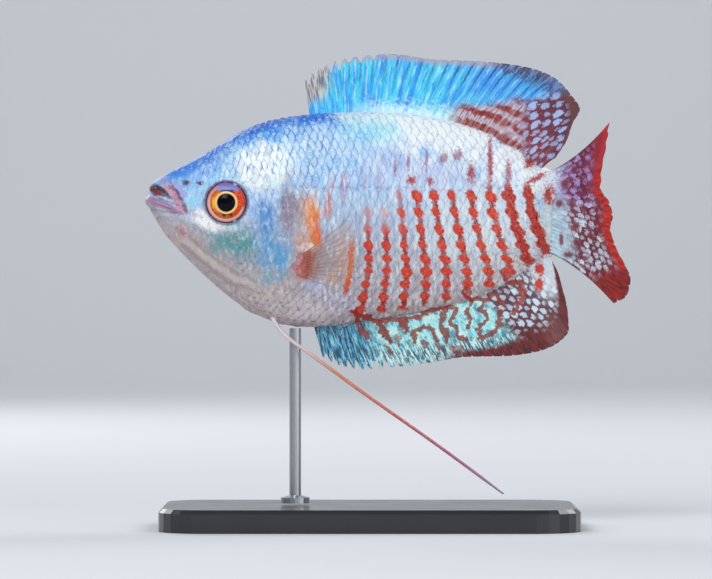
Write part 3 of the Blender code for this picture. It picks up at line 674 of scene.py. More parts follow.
def body_colour(start):
    """The markings of skin and scales alike: ground colours, patches, some of them painted light, bars and
    dots.
    """
    place, x, z = fish_place(start)
    height = attribute(start, "height")
    cloud = grain(place, 0.35, 3.0) - 0.5
    speck = grain(place, 2.6, 2.0) - 0.5
    stops = {"stops": HEIGHT_COLOURS}
    colour = start.node("ShaderNodeValToRGB", stops, {"Fac": height + cloud * 0.16 + speck * 0.12})
    wobble = cloud * 1.4 + speck * 0.7
    colour = lay_patches(colour, x, z, wobble, PATCHES)
    orange = patch(x, z, wobble, 26.0, -3.4, 2.2, 6.5, 0.0, 0.6)
    fleck = (grain(place, 1.4, 4.0, (0.8, 1, 1.5)) - 0.5) * (1 - orange * 0.6)
    on_head = x.rise(27.0, 19.0)
    colour = tint(fleck.rise(0.02, 0.20) * (0.30 + on_head * height * 0.10), colour, light(240, 248, 248))
    dark_fleck = tint(height.rise(0.3, 0.7), light(128, 104, 108), light(70, 112, 190))
    colour = tint(fleck.rise(-0.02, -0.20) * (0.22 + on_head * 0.18), colour, dark_fleck)
    flank = x.rise(22.0, 28.0) * height.rise(0.95, 0.75) * x.rise(62.0, 58.0)
    combed = grain(place, 1.1, 3.0, (0.5, 1, 2.6))
    colour = tint(combed.rise(0.52, 0.68) * flank * 0.65, colour, light(234, 246, 251))
    combed_shade = tint(height, light(132, 126, 150), light(116, 164, 226))
    colour = tint(combed.rise(0.47, 0.33) * flank * 0.45, colour, combed_shade)
    tan = grain(place, 0.8, 2.0)
    tanned = tan.rise(0.50, 0.66) * height.rise(0.55, 0.25) * on_head
    colour = tint(tanned * 0.5, colour, light(204, 178, 168))

    above = (z - BAR_LEVEL).most(0) * LEAN_ABOVE
    below = (BAR_LEVEL - z).most(0)
    deep = (DEEP_LEVEL - z).most(0) * DEEP_BEND
    upright = x + above + deep - (x - LEAN_AT) * LEAN_GROWTH * below
    half_pitch = BAR_PITCH / BAR_GROWTH / 2
    bar = ((upright - BAR_START) / BAR_GROWTH + half_pitch**2).of("SQRT") - half_pitch
    row = (BAR_LEVEL - z) / ROW_PITCH + (LOW_LEVEL - z).most(0) * LOW_GROWTH
    waver = grain(place, 0.22, 1.0) - 0.5
    across = bar.off_whole() + speck * 0.26 + waver * 0.12
    along = row.off_whole() + speck * 0.22 + waver * 0.3 - across * 0.25
    rear = bar.rise(9.2, 9.7)
    swell = 1 + rear * 0.35
    oval_x = across / (swell * DOT_HALF[0])
    oval_z = along / DOT_HALF[1]
    reach = oval_x * oval_x + oval_z * oval_z
    first = bar.rise(1.7, 1.3)
    dot = (reach * (waver * 2.0 + 1)).rise(1.35, 0.7) * (1 - first)
    neck = abs(across - 0.03 + speck * 0.12).rise(0.19, 0.09)
    solid = abs(across).rise(0.27, 0.15) * rear
    top = z.rise(1.9, 1.1).most(bar.rise(8.6, 9.0) * z.rise(3.0, 1.6))
    gap = 1 - (z + speck * 2).rise(-8.0, -5.6) * bar.rise(1.7, 1.3) - z.rise(-1.6, -0.6) * bar.rise(4.5, 3.5)
    reach_down = height.rise(0.02, 0.05) * (1 - (z + speck * 2).rise(-12.8, -15.4) * bar.rise(1.7, 1.3))
    present = bar.rise(0.4, 0.8) * bar.rise(11.5, 11.2) * top * gap.most(0) * reach_down
    faint = 0.30 + 0.70 * bar.rise(3.2, 4.4).most(z.rise(-3.0, -6.0))
    mark = dot.most(solid).most(neck * first) * present * faint
    red = tint(rear, DOT_COLOURS[0], DOT_COLOURS[1])
    red = tint(speck.rise(0.02, 0.16) * 0.5, red, light(226, 116, 70))
    red = tint(speck.rise(-0.04, -0.16) * 0.5, red, light(136, 34, 32))
    red = tint(first * (0.85 - speck), red, light(224, 92, 32))
    halo = reach.rise(3.4, 1.6) * present * 0.35
    colour = tint(halo, colour, light(222, 214, 226))
    gold = abs(across - 0.30).rise(0.09, 0.02) * bar.rise(5.5, 8.0) * speck.rise(-0.02, 0.14)
    colour = tint(gold * present * 0.7, colour, BAR_GOLD)
    high = z.rise(1.0, 2.0) * z.rise(4.6, 3.4) * abs(across - 0.05).rise(0.20, 0.06)
    high = high * bar.rise(-0.6, -0.3) * bar.rise(3.6, 3.2)
    high_tone = tint(bar.rise(0.5, 1.5), light(222, 130, 110), light(178, 122, 170))
    colour = tint(high * (0.35 + cloud), colour, high_tone)
    colour = tint(neck * present * faint * (0.95 - cloud), colour, NECK_COLOUR)
    colour = tint(mark, colour, red)
    for at_x, at_z, half_x, half_z, fall, red in RED_MARKS:
        share = patch(x, z, speck * 1.8, at_x, at_z, half_x * 1.3, half_z * 1.25, fall, 0.8)
        share = share * (0.65 + red * 0.32)
        shade = tuple(v + (r - v) * red for v, r in zip(VIOLET_MARK, DOT_COLOURS[1]))
        colour = tint(share, colour, shade)
        mark = mark.most(share)
    wavering = drift(place, 0.45, 1.2)
    for half, line in FOOT_LINES:
        share = stroke(wavering, speck * 1.8 + cloud * 0.8, half, line)
        colour = tint(share * 0.92, colour, tint(speck.rise(-0.1, 0.1), DOT_COLOURS[1], NECK_COLOUR))
        mark = mark.most(share)
    return colour, place, x, z, speck, mark


def tube_faces(rings, around):
    """Faces over rings of points, closed by fans to one more point in front and one at the rear."""
    faces = []
    for i in range(rings - 1):
        for j in range(around):
            k = (j + 1) % around
            faces.append((i * around + j, i * around + k, (i + 1) * around + k, (i + 1) * around + j))
    front, last = rings * around, (rings - 1) * around
    for j in range(around):
        k = (j + 1) % around
        faces += [(front, k, j), (front + 1, last + j, last + k)]
    return faces


def height_share(points):
    """0 at the belly's line, 1 at the back's, on the straight fish."""
    low = belly(points[:, 0])
    return (points[:, 2] - low) / (back(points[:, 0]) - low)


def girth_share(x, z):
    """How far round one flank a place lies, measured over the skin from belly (0) to back (1)."""
    levels = np.linspace(0, 1, GIRTH_STEPS)[:, None]
    heights = belly(x) + levels * (back(x) - belly(x))
    widths = half_width(np.broadcast_to(x, heights.shape), heights)
    steps = np.hypot(np.diff(heights, axis=0), np.diff(widths, axis=0))
    run = np.concatenate([np.zeros((1, len(x))), np.cumsum(steps, 0)])
    return np.array([np.interp(z[i], heights[:, i], run[:, i]) / run[-1, i] for i in range(len(x))])


def store(mesh, name, values, kind="FLOAT"):
    """Gives a mesh a value at each of its points."""
    field = "value" if kind == "FLOAT" else "vector"
    mesh.attributes.new(name, kind, "POINT").data.foreach_set(field, np.asarray(values, np.float32).ravel())


skin_finish, start = new_finish("scaled_skin")
colour, place, x, z, speck, mark = body_colour(start)
colour = lay_patches(colour, x, z, speck, LIP_PATCHES)
wavering = drift(place, 0.5, 0.5)
for shade, strength, half, line in LIP_LINES:
    colour = tint(stroke(wavering, speck * 1.6, half, line, 0.9) * strength, colour, shade)
for nostril_x, nostril_z, radius in NOSTRILS:
    share = patch(x, z, speck * 0.9, nostril_x, nostril_z, radius * 2.2, radius * 1.3, 0.0, 0.8)
    colour = tint(share * 0.9, colour, NOSTRIL_COLOUR)
out_x = x - EYE[0]
out_z = z - EYE[2]
from_eye = (out_x * out_x + out_z * out_z).of("SQRT")
# A dark purple ring on the orbit's rim, and inside it painted shade on the orbit's sunk wall.
colour = tint((from_eye + speck * 0.5).rise(3.7, 3.3) * 0.8, colour, ORBIT_COLOUR)
colour = tint(from_eye.rise(3.3, 3.1), colour, ORBIT_WALL_PAINTED_SHADE)
fine = grain(place, 5.0, 3.0)
# Painted sparkle: small white glints painted into the colour from mid-flank up; the same noise also goes into
# the bump.
sparkle = grain(place, 2.2, 1.0).rise(0.60, 0.72)
colour = tint(sparkle * 0.22 * z.rise(-7.0, -1.0), colour, light(240, 250, 255))
colour = tint(fine.rise(0.55, 0.35) * 0.22, colour, light(96, 112, 140))
end_finish(start, colour, 0.34 + fine * 0.16, fine + sparkle * 0.3, 0.05, Specular_IOR_Level=0.5,
           Coat_Weight=0.25, Coat_Roughness=0.14)

skin_rings = sink_and_raise(skin_points())
straight = skin_rings.reshape(-1, 3)
straight = np.concatenate([straight, [skin_rings[0].mean(0), skin_rings[-1].mean(0)]])
skin = link_mesh("skin", to_world(bend(straight)), tube_faces(*skin_rings.shape[:2]), skin_finish)
store(skin.data, "height", height_share(straight))
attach(skin, "root")
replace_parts(skin, "head", "gill_cover_left", "gill_cover_right", "torso", "tail_stalk")


# Scales: thin bony plates in slanting rows, each rooted in the skin and lapping the next ones behind.
# They are clear over a silvery layer, so that they take the skin's markings, with a darker rear rim.
LEAN_LEAST = -0.15
LOW_ROW_SHARE = 0.76
COLUMN_RANGE = (-42, 50)
ROWS_UP = 18
ROWS_DOWN = 24
EDGE_MARGIN = 0.3
STEEPEST = 1.15
# One scale: its ends and half its width in column pitches and row steps, the rest in millimetres
SCALE_FRONT = -0.75
SCALE_REAR = 0.64
SCALE_SIDE = 1.14
SCALE_LIFT = (0.02, 0.06)
SCALE_PILLOW = 0.02
SCALE_THICKNESS = 0.045
SCALE_GRID = (6, 7)
SCALE_FRONT_BOW = 0.35
SCALE_REAR_POINT = 1.7
CURL_MOST = 0.3
# Where the head bears scales: round the eye it is bare, then from x on above the crown's level, and
# behind a slanting line on the cheek below it
EYE_CLEARANCE = 4.0
CROWN_LEVEL = 2.6
CROWN_START = 9.0
CHEEK_START = 13.6
CHEEK_SLANT = 0.12
TAIL_MARGIN = 0.4
FLANKS = ((-1, "left"), (1, "right"))
# How far they stand out: at least, and what is added from one x to another on crown and cheek
BOLD_LEAST = 0.25
BOLD_CROWN = (0.70, 10.0, 17.0)
BOLD_CHEEK = (0.22, 15.0, 24.0)
FULL_SIZE_FROM = 28.0
SMALLEST_SCALE = 0.5
BAKE_CELL = 0.0032
SCALE_RIM = light(60, 118, 206)
SCALE_RIM_LOW = light(116, 118, 130)
JITTER = 0.12
SCALE_SEED = 11


def shrink(x):
    """How small the scales are at x: full size on the body, less on the head."""
    return np.clip((back(x) + 4) / (back(FULL_SIZE_FROM) + 4), SMALLEST_SCALE, 1)


def column_place(bar, z):
    """Where a column of scales, counted in bars, stands at a height."""
    upright = BAR_START + BAR_PITCH * bar + BAR_GROWTH * bar**2
    upright = upright - LEAN_ABOVE * np.maximum(z - BAR_LEVEL, 0) - DEEP_BEND * np.maximum(DEEP_LEVEL - z, 0)
    below = np.maximum(BAR_LEVEL - z, 0)
    leaning = (upright - LEAN_AT * LEAN_GROWTH * below) / (1 - LEAN_GROWTH * below)
    return np.where((leaning - LEAN_AT) * LEAN_GROWTH < LEAN_LEAST, upright + LEAN_LEAST * below, leaning)


def slopes(x, z):
    """How fast the body's half width grows backwards and upwards."""
    e = 0.05
    along = (half_width(x + e, z) - half_width(x - e, z)) / (2 * e)
    up = (half_width(x, z + e) - half_width(x, z - e)) / (2 * e)
    return along, up


def scale_roots():
    """Every scale's root in side view, with its column's pitch and its row's step."""
    quarter = np.arange(*COLUMN_RANGE)
    bar = quarter / 4
    found = []
    for direction, count in ((1, ROWS_UP * 2), (-1, ROWS_DOWN * 2)):
        z = np.full(len(bar), BAR_LEVEL)
        for row in range(count):
            x = np.clip(column_place(bar, z), SNOUT_X, TAIL_BASE)
            arc = np.hypot(1, slopes(x, z)[1])
            step = ROW_PITCH / 2 * shrink(x) * np.where(z > LOW_LEVEL, 1, LOW_ROW_SHARE)
            keep = (quarter + row) % 2 == 0
            keep &= (z < back(x) - EDGE_MARGIN) & (z > belly(x) + EDGE_MARGIN)
            keep &= (row > 0) | (direction > 0)
            pitch = BAR_PITCH / 2 + BAR_GROWTH * bar
            found.append(np.stack([x, z, pitch, step * np.maximum(1, arc / STEEPEST)], 1)[keep])
            z = z + direction * step * np.minimum(1, STEEPEST / arc)
    return np.concatenate(found)


def has_scale(x, z):
    """Scales leave the snout, the eye's surround, the cheek's front and the throat bare."""
    clear_of_eye = np.hypot(x - EYE[0], z - EYE[2]) > EYE_CLEARANCE
    crown = (z > CROWN_LEVEL) & (x > CROWN_START)
    cheek = (z <= CROWN_LEVEL) & (x > CHEEK_START - CHEEK_SLANT * z)
    return clear_of_eye & (crown | cheek) & (x < TAIL_BASE - TAIL_MARGIN)


def boldness(x, z):
    """How far the scales stand out: little on the cheek and the snout's end, fully on the body."""
    crown, cheek = (added * rise(x, low, high) for added, low, high in (BOLD_CROWN, BOLD_CHEEK))
    return BOLD_LEAST + np.where(z > CROWN_LEVEL, crown, cheek)


def grid_faces(columns, rows):
    """The faces of a grid of points, and the points round its edge in their order."""
    starts = [i * rows + j for i in range(columns - 1) for j in range(rows - 1)]
    loop = [i * rows for i in range(columns)] + [(columns - 1) * rows + j for j in range(1, rows)]
    loop += [i * rows + rows - 1 for i in range(columns - 2, -1, -1)] + list(range(rows - 2, 0, -1))
    return [(a, a + rows, a + rows + 1, a + 1) for a in starts], loop


def scale_shape():
    """One scale, a closed plate a little pillowed; its place is in pitches, row steps and mm."""
    along, across = SCALE_GRID
    grids = np.meshgrid(np.linspace(0, 1, along), np.linspace(-1, 1, across), indexing="ij")
    s, t = (grid.ravel() for grid in grids)
    front = SCALE_FRONT + SCALE_FRONT_BOW * t**2
    rear = (SCALE_REAR + 0.05) * (1 - np.abs(t) ** SCALE_REAR_POINT) - 0.05
    x = front + (rear - front) * s
    z = SCALE_LIFT[0] + (SCALE_LIFT[1] - SCALE_LIFT[0]) * s + SCALE_PILLOW * (1 - t**2) * np.sin(math.pi * s)
    top = np.stack([x, t * SCALE_SIDE, z], 1)
    faces, loop = grid_faces(along, across)
    under = top[loop] - (0, 0, SCALE_THICKNESS)
    n = len(top)
    for k in range(len(loop)):
        j = (k + 1) % len(loop)
        faces.append((loop[j], loop[k], n + k, n + j))
    faces.append(tuple(n + k for k in range(len(loop) - 1, -1, -1)))
    shape = link_mesh("scale_shape", np.concatenate([top, under]) * MM, faces)
    local = np.concatenate([np.stack([s, t, 0 * s], 1), np.stack([s[loop], t[loop], 0 * s[loop]], 1)])
    store(shape.data, "local", local, "FLOAT_VECTOR")
    return shape


class Tree(Wire):
    """A Geometry Nodes tree in the making, with named inputs; its nodes are joined by wires too."""

    def __init__(self, name, inputs):
        super().__init__(bpy.data.node_groups.new(name, "GeometryNodeTree"))
        face = self.tree.interface
        face.new_socket("Geometry", in_out="OUTPUT", socket_type="NodeSocketGeometry")
        face.new_socket("Geometry", in_out="INPUT", socket_type="NodeSocketGeometry")
        self.places = {}
        for label, kind, value in inputs:
            socket = face.new_socket(label, in_out="INPUT", socket_type=kind)
            self.places[label] = (socket.identifier, value)
        self.start = self.tree.nodes.new("NodeGroupInput")

    def given(self, label):
        """One of the tree's own inputs."""
        return Wire(self.tree, self.start.outputs[label])

    def named(self, name, kind="FLOAT_VECTOR"):
        """A value that the mesh carries, by its name."""
        return self.node("GeometryNodeInputNamedAttribute", {"data_type": kind}, {"Name": name}, "Attribute")

    def grow(self, name, seed_mesh, grown):
        """Ends the tree, runs it on a mesh object and gives the result as a plain mesh object."""
        self.node("NodeGroupOutput", {}, {0: grown}, None)
        modifier = seed_mesh.modifiers.new("grow", "NODES")
        modifier.node_group = self.tree
        for identifier, value in self.places.values():
            modifier[identifier] = value
        graph = bpy.context.evaluated_depsgraph_get()
        mesh = bpy.data.meshes.new_from_object(seed_mesh.evaluated_get(graph))
        seed_mesh.modifiers.clear()
        bpy.data.objects.remove(seed_mesh)
        mesh.name = name
        thing = bpy.data.objects.new(name, mesh)
        bpy.context.scene.collection.objects.link(thing)
        mesh.shade_smooth()
        return thing


def scales_on(side, name, finish, shape):
    """Every scale of one flank, as one mesh."""
    roots = scale_roots()
    roots = roots[has_scale(roots[:, 0], roots[:, 1])]
    uneven = np.random.default_rng(SCALE_SEED + side).uniform(-JITTER, JITTER, roots.shape)
    roots[:, :2] += uneven[:, :2] * roots[:, 2:]
    roots[:, 2:] *= 1 + uneven[:, 2:]
    x, z, pitch, step = roots.T
    z = np.clip(z, belly(x) + EDGE_MARGIN / 2, back(x) - EDGE_MARGIN / 2)
    along, up = slopes(x, z)
    curl = np.abs(slopes(x, z + 0.3)[1] - slopes(x, z - 0.3)[1]) / 0.6 / (1 + up**2) ** 1.5
    normal = np.stack([-along, side + 0 * x, -up], 1)
    rearward = np.stack([1 + 0 * x, side * along, 0 * x], 1)
    seed = link_mesh(name + "_roots", to_world(bend(np.stack([x, side * half_width(x, z), z], 1))), [])
    store(seed.data, "normal_out", bend_direction(x, normal), "FLOAT_VECTOR")
    store(seed.data, "rearward", bend_direction(x, rearward), "FLOAT_VECTOR")
    store(seed.data, "size", np.stack([pitch, step, boldness(x, z)], 1), "FLOAT_VECTOR")
    store(seed.data, "curl", np.minimum(curl, CURL_MOST))
    share = height_share(np.stack([x, 0 * x, z], 1))
    store(seed.data, "root", np.stack([x / TAIL_BASE, share, 1 / (back(x) - belly(x))], 1), "FLOAT_VECTOR")
    store(seed.data, "girth", girth_share(x, z))

    tree = Tree(name + "_tree", (
        ("Scale shape", "NodeSocketObject", shape), ("Tone seed", "NodeSocketInt", 3 + side),
        ("Finish", "NodeSocketMaterial", finish),
    ))
    shape_in = tree.node("GeometryNodeObjectInfo", {}, {"Object": tree.given("Scale shape")}, "Geometry")
    settings = {"primary_axis": "Z", "secondary_axis": "X"}
    axes = {"Primary Axis": tree.named("normal_out"), "Secondary Axis": tree.named("rearward")}
    turned = tree.node("FunctionNodeAxesToRotation", settings, axes)
    placed = tree.node("GeometryNodeInstanceOnPoints", {}, {
        "Points": tree.given("Geometry"), "Instance": shape_in, "Rotation": turned,
        "Scale": tree.named("size"),
    })
    values = {"Seed": tree.given("Tone seed")}
    tone = tree.node("FunctionNodeRandomValue", {"data_type": "FLOAT"}, values, "Value")
    toned = tree.node("GeometryNodeStoreNamedAttribute", {"data_type": "FLOAT", "domain": "INSTANCE"},
                      {"Geometry": placed, "Name": "tone", "Value": tone})
    real = tree.node("GeometryNodeRealizeInstances", {}, {"Geometry": toned})
    reach = tree.named("local").part("Y") * tree.named("size").part("Y")
    metres = reach * reach * tree.named("curl", "FLOAT") * (-MM * SCALE_SIDE**2 / 2)
    out = tree.vector("NORMALIZE", {0: tree.named("normal_out")})
    offset = tree.vector("SCALE", {0: out, "Scale": metres})
    curled = tree.node("GeometryNodeSetPosition", {}, {"Geometry": real, "Offset": offset})
    painted = tree.node("GeometryNodeSetMaterial", {}, {"Geometry": curled, "Material": tree.given("Finish")})
    scales = tree.grow(name, seed, painted)

    mesh = scales.data
    count = len(mesh.vertices)
    read = {}
    for key in ("local", "size", "root"):
        values = np.zeros(count * 3, np.float32)
        mesh.attributes[key].data.foreach_get("vector", values)
        read[key] = values.reshape(-1, 3)
    height = read["root"][:, 1] + read["local"][:, 1] * SCALE_SIDE * read["size"][:, 1] * read["root"][:, 2]
    store(mesh, "height", height)
    corner = np.zeros(len(mesh.loops), np.int32)
    mesh.loops.foreach_get("vertex_index", corner)
    patch_x = read["root"][:, 0] + (read["local"][:, 0] - 0.5) * BAKE_CELL
    girth = np.zeros(count, np.float32)
    mesh.attributes["girth"].data.foreach_get("value", girth)
    patch_y = girth + read["local"][:, 1] / 2 * BAKE_CELL
    bake = mesh.uv_layers.new(name="OFBake")
    bake.data.foreach_set("uv", np.stack([patch_x[corner], patch_y[corner]], 1).astype(np.float32).ravel())
    for key in ("normal_out", "rearward", "size", "root", "curl", "girth"):
        mesh.attributes.remove(mesh.attributes[key])
    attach(scales, "root")
    return scales


scale_finish, start = new_finish("scale_plates")
colour, place, x, z, speck, mark = body_colour(start)
tone = attribute(start, "tone")
height = attribute(start, "height")
local = attribute(start, "local", "Vector")
along = local.part("X")
sideways = local.part("Y")
streaks = grain(place, 3.2, 2.0, (2.2, 1, 0.7))
calm = 1 - mark
broken = grain(place, 0.9, 3.0)
nape = x.rise(38.0, 26.0) * height.rise(0.50, 0.75)
# Where the upper back is painted white as highlight, the plates' rims fade.
highlit_back = x.rise(30.0, 36.0) * height.rise(0.66, 0.80)
bold = (0.06 + nape * 0.62) * (1 - highlit_back * 0.8)
plain = calm * (0.35 + nape * 0.65)
colour = tint((tone - 0.60).most(0) * 0.9 * plain, colour, light(232, 250, 255))
dark_plate = tint(height, light(128, 122, 140), light(64, 130, 214))
colour = tint((0.40 - tone).most(0) * 0.8 * plain, colour, dark_plate)
# Painted glint: a white gleam painted on the hind middle of each plate, faint on the flank, stronger on the
# nape.
glint = along.rise(0.40, 0.60) * along.rise(0.90, 0.74) * abs(sideways - 0.1).rise(0.75, 0.2)
colour = tint(glint * streaks.rise(0.46, 0.66) * (0.12 + nape * 0.4) * calm, colour, light(246, 253, 255))
rim_shade = tint(height.rise(0.45, 0.65), SCALE_RIM_LOW, SCALE_RIM)
rim = along.rise(0.74, 0.96) * broken.rise(0.42, 0.64) * (0.6 + tone * 0.8)
colour = tint(rim * bold * calm * x.rise(9.0, 14.0), colour, rim_shade)
ridges = (along * 42).of("SINE") * 0.3 + streaks
end_finish(start, colour, 0.32 + streaks * 0.24, ridges, 0.02, Specular_IOR_Level=0.5, Coat_Weight=0.2,
           Coat_Roughness=0.2)
scale_plate = scale_shape()
for side, word in FLANKS:
    scales_on(side, "scales_" + word, scale_finish, scale_plate)
bpy.data.objects.remove(scale_plate)


# Eyes: a flat-fronted ball in each orbit, with a clear horn front over a ringed iris. Gold lies round
# the pupil, orange in front, red behind, and a blue cap above; both balls sit turned a little forward.
EYE_RADII = (3.3, 1.6)
CORNEA_RADIUS = 2.0
CORNEA_RISE = 0.22
EYE_RINGS = 40
EYE_ROUND = 72
PUPIL_SHIFT = (0.02, -0.04)
IRIS_RINGS = (
    (0.00, light(4, 4, 12)), (0.415, light(6, 6, 16)), (0.435, light(238, 190, 120)),
    (0.500, light(255, 222, 158)), (0.535, light(240, 150, 52)), (0.62, light(226, 104, 26)),
    (0.72, light(178, 66, 30)), (0.79, light(232, 166, 146)), (0.870, light(210, 134, 122)),
    (0.925, light(116, 66, 96)), (0.97, light(46, 28, 64)),
)


def eyeball(side, name, finish):
    """One eye: rings of points round its axis, from the horn front to the back."""
    turns = np.linspace(0, math.pi, EYE_RINGS)[:, None]
    around = np.linspace(0, 2 * math.pi, EYE_ROUND, endpoint=False)[None]
    reach = EYE_RADII[0] * np.sin(turns)
    depth = EYE_RADII[1] * np.cos(turns)
    depth = depth + CORNEA_RISE * rise(reach, CORNEA_RADIUS, 0.4) * (turns < math.pi / 2)
    flat_x, flat_z = reach * np.cos(around), reach * np.sin(around)
    out = depth + 0 * around
    x = EYE[0] + flat_x * math.cos(EYE_TURN) - out * math.sin(EYE_TURN)
    y = EYE[1] + flat_x * math.sin(EYE_TURN) + out * math.cos(EYE_TURN)
    points = np.stack([x, side * y, EYE[2] + flat_z], 2)
    front, rear = points[0, 0].copy(), points[-1, 0].copy()
    points = points[1:-1].reshape(-1, 3)
    faces = tube_faces(EYE_RINGS - 2, EYE_ROUND)
    ball = link_mesh(name, to_world(np.concatenate([points, [front, rear]])), faces, finish)
    face_outwards(ball)
    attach(ball, "root")
    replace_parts(ball, name.replace("ball", "eye"))


def face_outwards(thing):
    """Turns every face of a closed mesh outwards."""
    work = bmesh.new()
    work.from_mesh(thing.data)
    bmesh.ops.recalc_face_normals(work, faces=work.faces)
    work.to_mesh(thing.data)
    work.free()


def strands(across, along):
    """Fine strands, from a count across them and a run along them."""
    place = across.node("ShaderNodeCombineXYZ", {}, {"X": across, "Y": along})
    return across.node("ShaderNodeTexNoise", {}, {"Vector": place, "Scale": 1.0, "Detail": 3.0})


eye_finish, start = new_finish("ringed_eye")
_, x, z = fish_place(start)
out_x = x - EYE[0] - PUPIL_SHIFT[0]
out_z = z - EYE[2] - PUPIL_SHIFT[1]
reach = (out_x * out_x + out_z * out_z).of("SQRT")
fibre = strands(out_z.maths("ARCTAN2", out_z, out_x) * 9, reach * 1.2)
share = reach / EYE_RADII[0]
colour = start.node("ShaderNodeValToRGB", {"stops": IRIS_RINGS}, {"Fac": share + (fibre - 0.5) * 0.02})
iris = share.rise(0.51, 0.55) * share.rise(0.82, 0.72)
toward_rear = (out_x / reach.most(0.1)).rise(-0.2, 0.6)
colour = tint(iris * toward_rear * 0.85, colour, light(214, 44, 16))
toward_ends = (abs(out_z) / reach.most(0.1)).rise(0.72, 0.98)
colour = tint(iris * toward_ends * share.rise(0.70, 0.60), colour, light(84, 18, 12))
low_ring = share.rise(0.72, 0.80) * share.rise(0.90, 0.86) * (out_z + out_x * 0.3).rise(0.6, -0.8)
colour = tint(low_ring * 0.8, colour, light(244, 196, 186))
red_top = (out_z + out_x).rise(1.6, 2.4) * share.rise(0.55, 0.60) * share.rise(0.90, 0.84)
colour = tint(red_top * 0.85, colour, light(206, 34, 18))
gold_front = (0 - out_x).rise(0.9, 1.5) * abs(out_z).rise(1.2, 0.3) * share.rise(0.72, 0.62)
colour = tint(gold_front * share.rise(0.50, 0.54) * 0.9, colour, light(255, 190, 70))
colour = tint(iris * (fibre - 0.45).most(0) * 1.6, colour, light(255, 190, 90))
cap = (out_z + out_x * out_x * 0.10).rise(1.75, 2.10) * abs(out_x - 0.15).rise(2.0, 1.1)
colour = tint(cap * 0.9, colour, tint(out_z.rise(2.1, 2.9), light(116, 158, 228), light(138, 108, 180)))
brow = out_z.rise(1.70, 1.80) * out_z.rise(2.05, 1.90) * abs(out_x - 0.2).rise(1.3, 0.6)
colour = tint(brow * 0.8, colour, light(20, 30, 70))
end_finish(start, colour, 0.22 + fibre * 0.05, None, Coat_Weight=0.14, Coat_Roughness=0.03,
           Specular_IOR_Level=0.05)
for side, word in FLANKS:
    eyeball(side, "ball_" + word, eye_finish)


# Dorsal and anal fins: a thin skin over bony rays, rooted all along back and belly. The front rays
# are spines with ragged skin between; the rear ones are soft and fork towards the margin.
# Rays at even shares of each fin's length: root x, tip x and tip z; for the tail root z, tip x and
# tip z; for the pectoral fin root x, root z, tip x and tip z
DORSAL_RAYS = (
    (25.6, 24.6, 18.5), (27.6, 26.9, 20.4), (31.0, 30.8, 21.8), (36.4, 37.8, 22.4),
    (41.2, 44.6, 21.6), (46.0, 51.5, 21.3), (50.2, 57.8, 20.6), (53.6, 62.6, 19.0),
    (56.2, 65.5, 16.2), (58.0, 66.9, 14.0), (59.2, 65.8, 11.8), (60.0, 64.9, 9.2),
    (60.6, 63.2, 6.6),
)
ANAL_RAYS = (
    (26.1, 27.4, -24.2), (27.7, 29.8, -25.4), (31.0, 33.6, -26.1), (36.0, 39.2, -25.6),
    (40.8, 44.4, -24.9), (45.4, 49.6, -24.1), (49.8, 55.2, -24.0), (53.5, 60.3, -23.3),
    (56.2, 63.7, -21.8), (58.0, 65.2, -19.8), (59.5, 65.0, -16.8), (60.6, 64.2, -13.4),
    (61.3, 63.5, -11.0), (61.9, 62.8, -9.7),
)
TAIL_RAYS = (
    (4.2, 71.9, 12.2), (3.5, 71.5, 9.2), (2.6, 70.7, 5.2), (1.5, 70.5, 2.0),
    (0.4, 71.8, -0.1), (-0.8, 72.4, -2.4), (-2.0, 72.0, -4.2), (-3.2, 73.0, -7.4),
    (-4.5, 74.4, -9.9), (-5.8, 75.3, -12.2), (-7.0, 74.6, -14.8), (-7.9, 72.6, -15.9),
)
PECTORAL_RAYS = (
    (24.4, -8.4, 31.3, -3.2), (24.5, -9.2, 32.4, -5.6), (24.5, -10.1, 32.6, -8.6),
    (24.3, -11.0, 32.0, -11.2), (24.0, -11.8, 29.9, -13.8),
)
# How far the pectoral fan stands out for each millimetre that it reaches back
PECTORAL_FLARE = 0.72
DORSAL_COUNT = 33
ANAL_COUNT = 36
TAIL_COUNT = 18
PECTORAL_COUNT = 12
SUNK = 0.5
# Brown lines on the anal fin: strength, half width, and x and z of the places
ANAL_LINES = (
    (0.90, 0.50, ((33.2, -19.6), (34.3, -21.3))),
    (0.95, 0.55, ((35.8, -18.7), (36.4, -20.0), (37.9, -21.5))),
    (0.95, 0.62, ((39.7, -18.8), (40.3, -20.5))), (0.70, 0.34, ((38.9, -20.7), (39.3, -22.5))),
    (0.90, 0.46, ((41.2, -21.9), (41.6, -20.0), (42.6, -19.2), (44.1, -20.0), (44.6, -21.6))),
    (0.80, 0.40, ((42.8, -21.5), (43.2, -22.6))), (0.90, 0.44, ((45.8, -17.0), (46.0, -19.7), (46.5, -21.3))),
    (0.75, 0.36, ((44.6, -21.6), (45.6, -23.0))),
    (0.90, 0.46, ((47.9, -16.9), (47.1, -18.8), (48.2, -20.8), (49.6, -21.8))),
    (0.90, 0.46, ((51.4, -21.7), (53.0, -20.9), (54.4, -19.4), (54.9, -17.4))),
    (0.90, 0.42, ((50.0, -15.4), (49.2, -16.8), (49.9, -18.2), (49.4, -19.4))),
    (0.90, 0.40, ((52.8, -15.2), (51.7, -16.8), (52.3, -18.3), (51.2, -19.6), (51.6, -21.0))),
    (0.70, 0.34, ((46.8, -22.6), (48.4, -22.9))), (0.70, 0.34, ((36.9, -22.6), (37.6, -23.6))),
)
# The skin's columns from one ray to the next, and its rows from root to margin
SUB_COLUMNS = (0.0, 0.18, 0.34, 0.43, 0.5, 0.57, 0.66, 0.82)
FIN_ROWS = 44
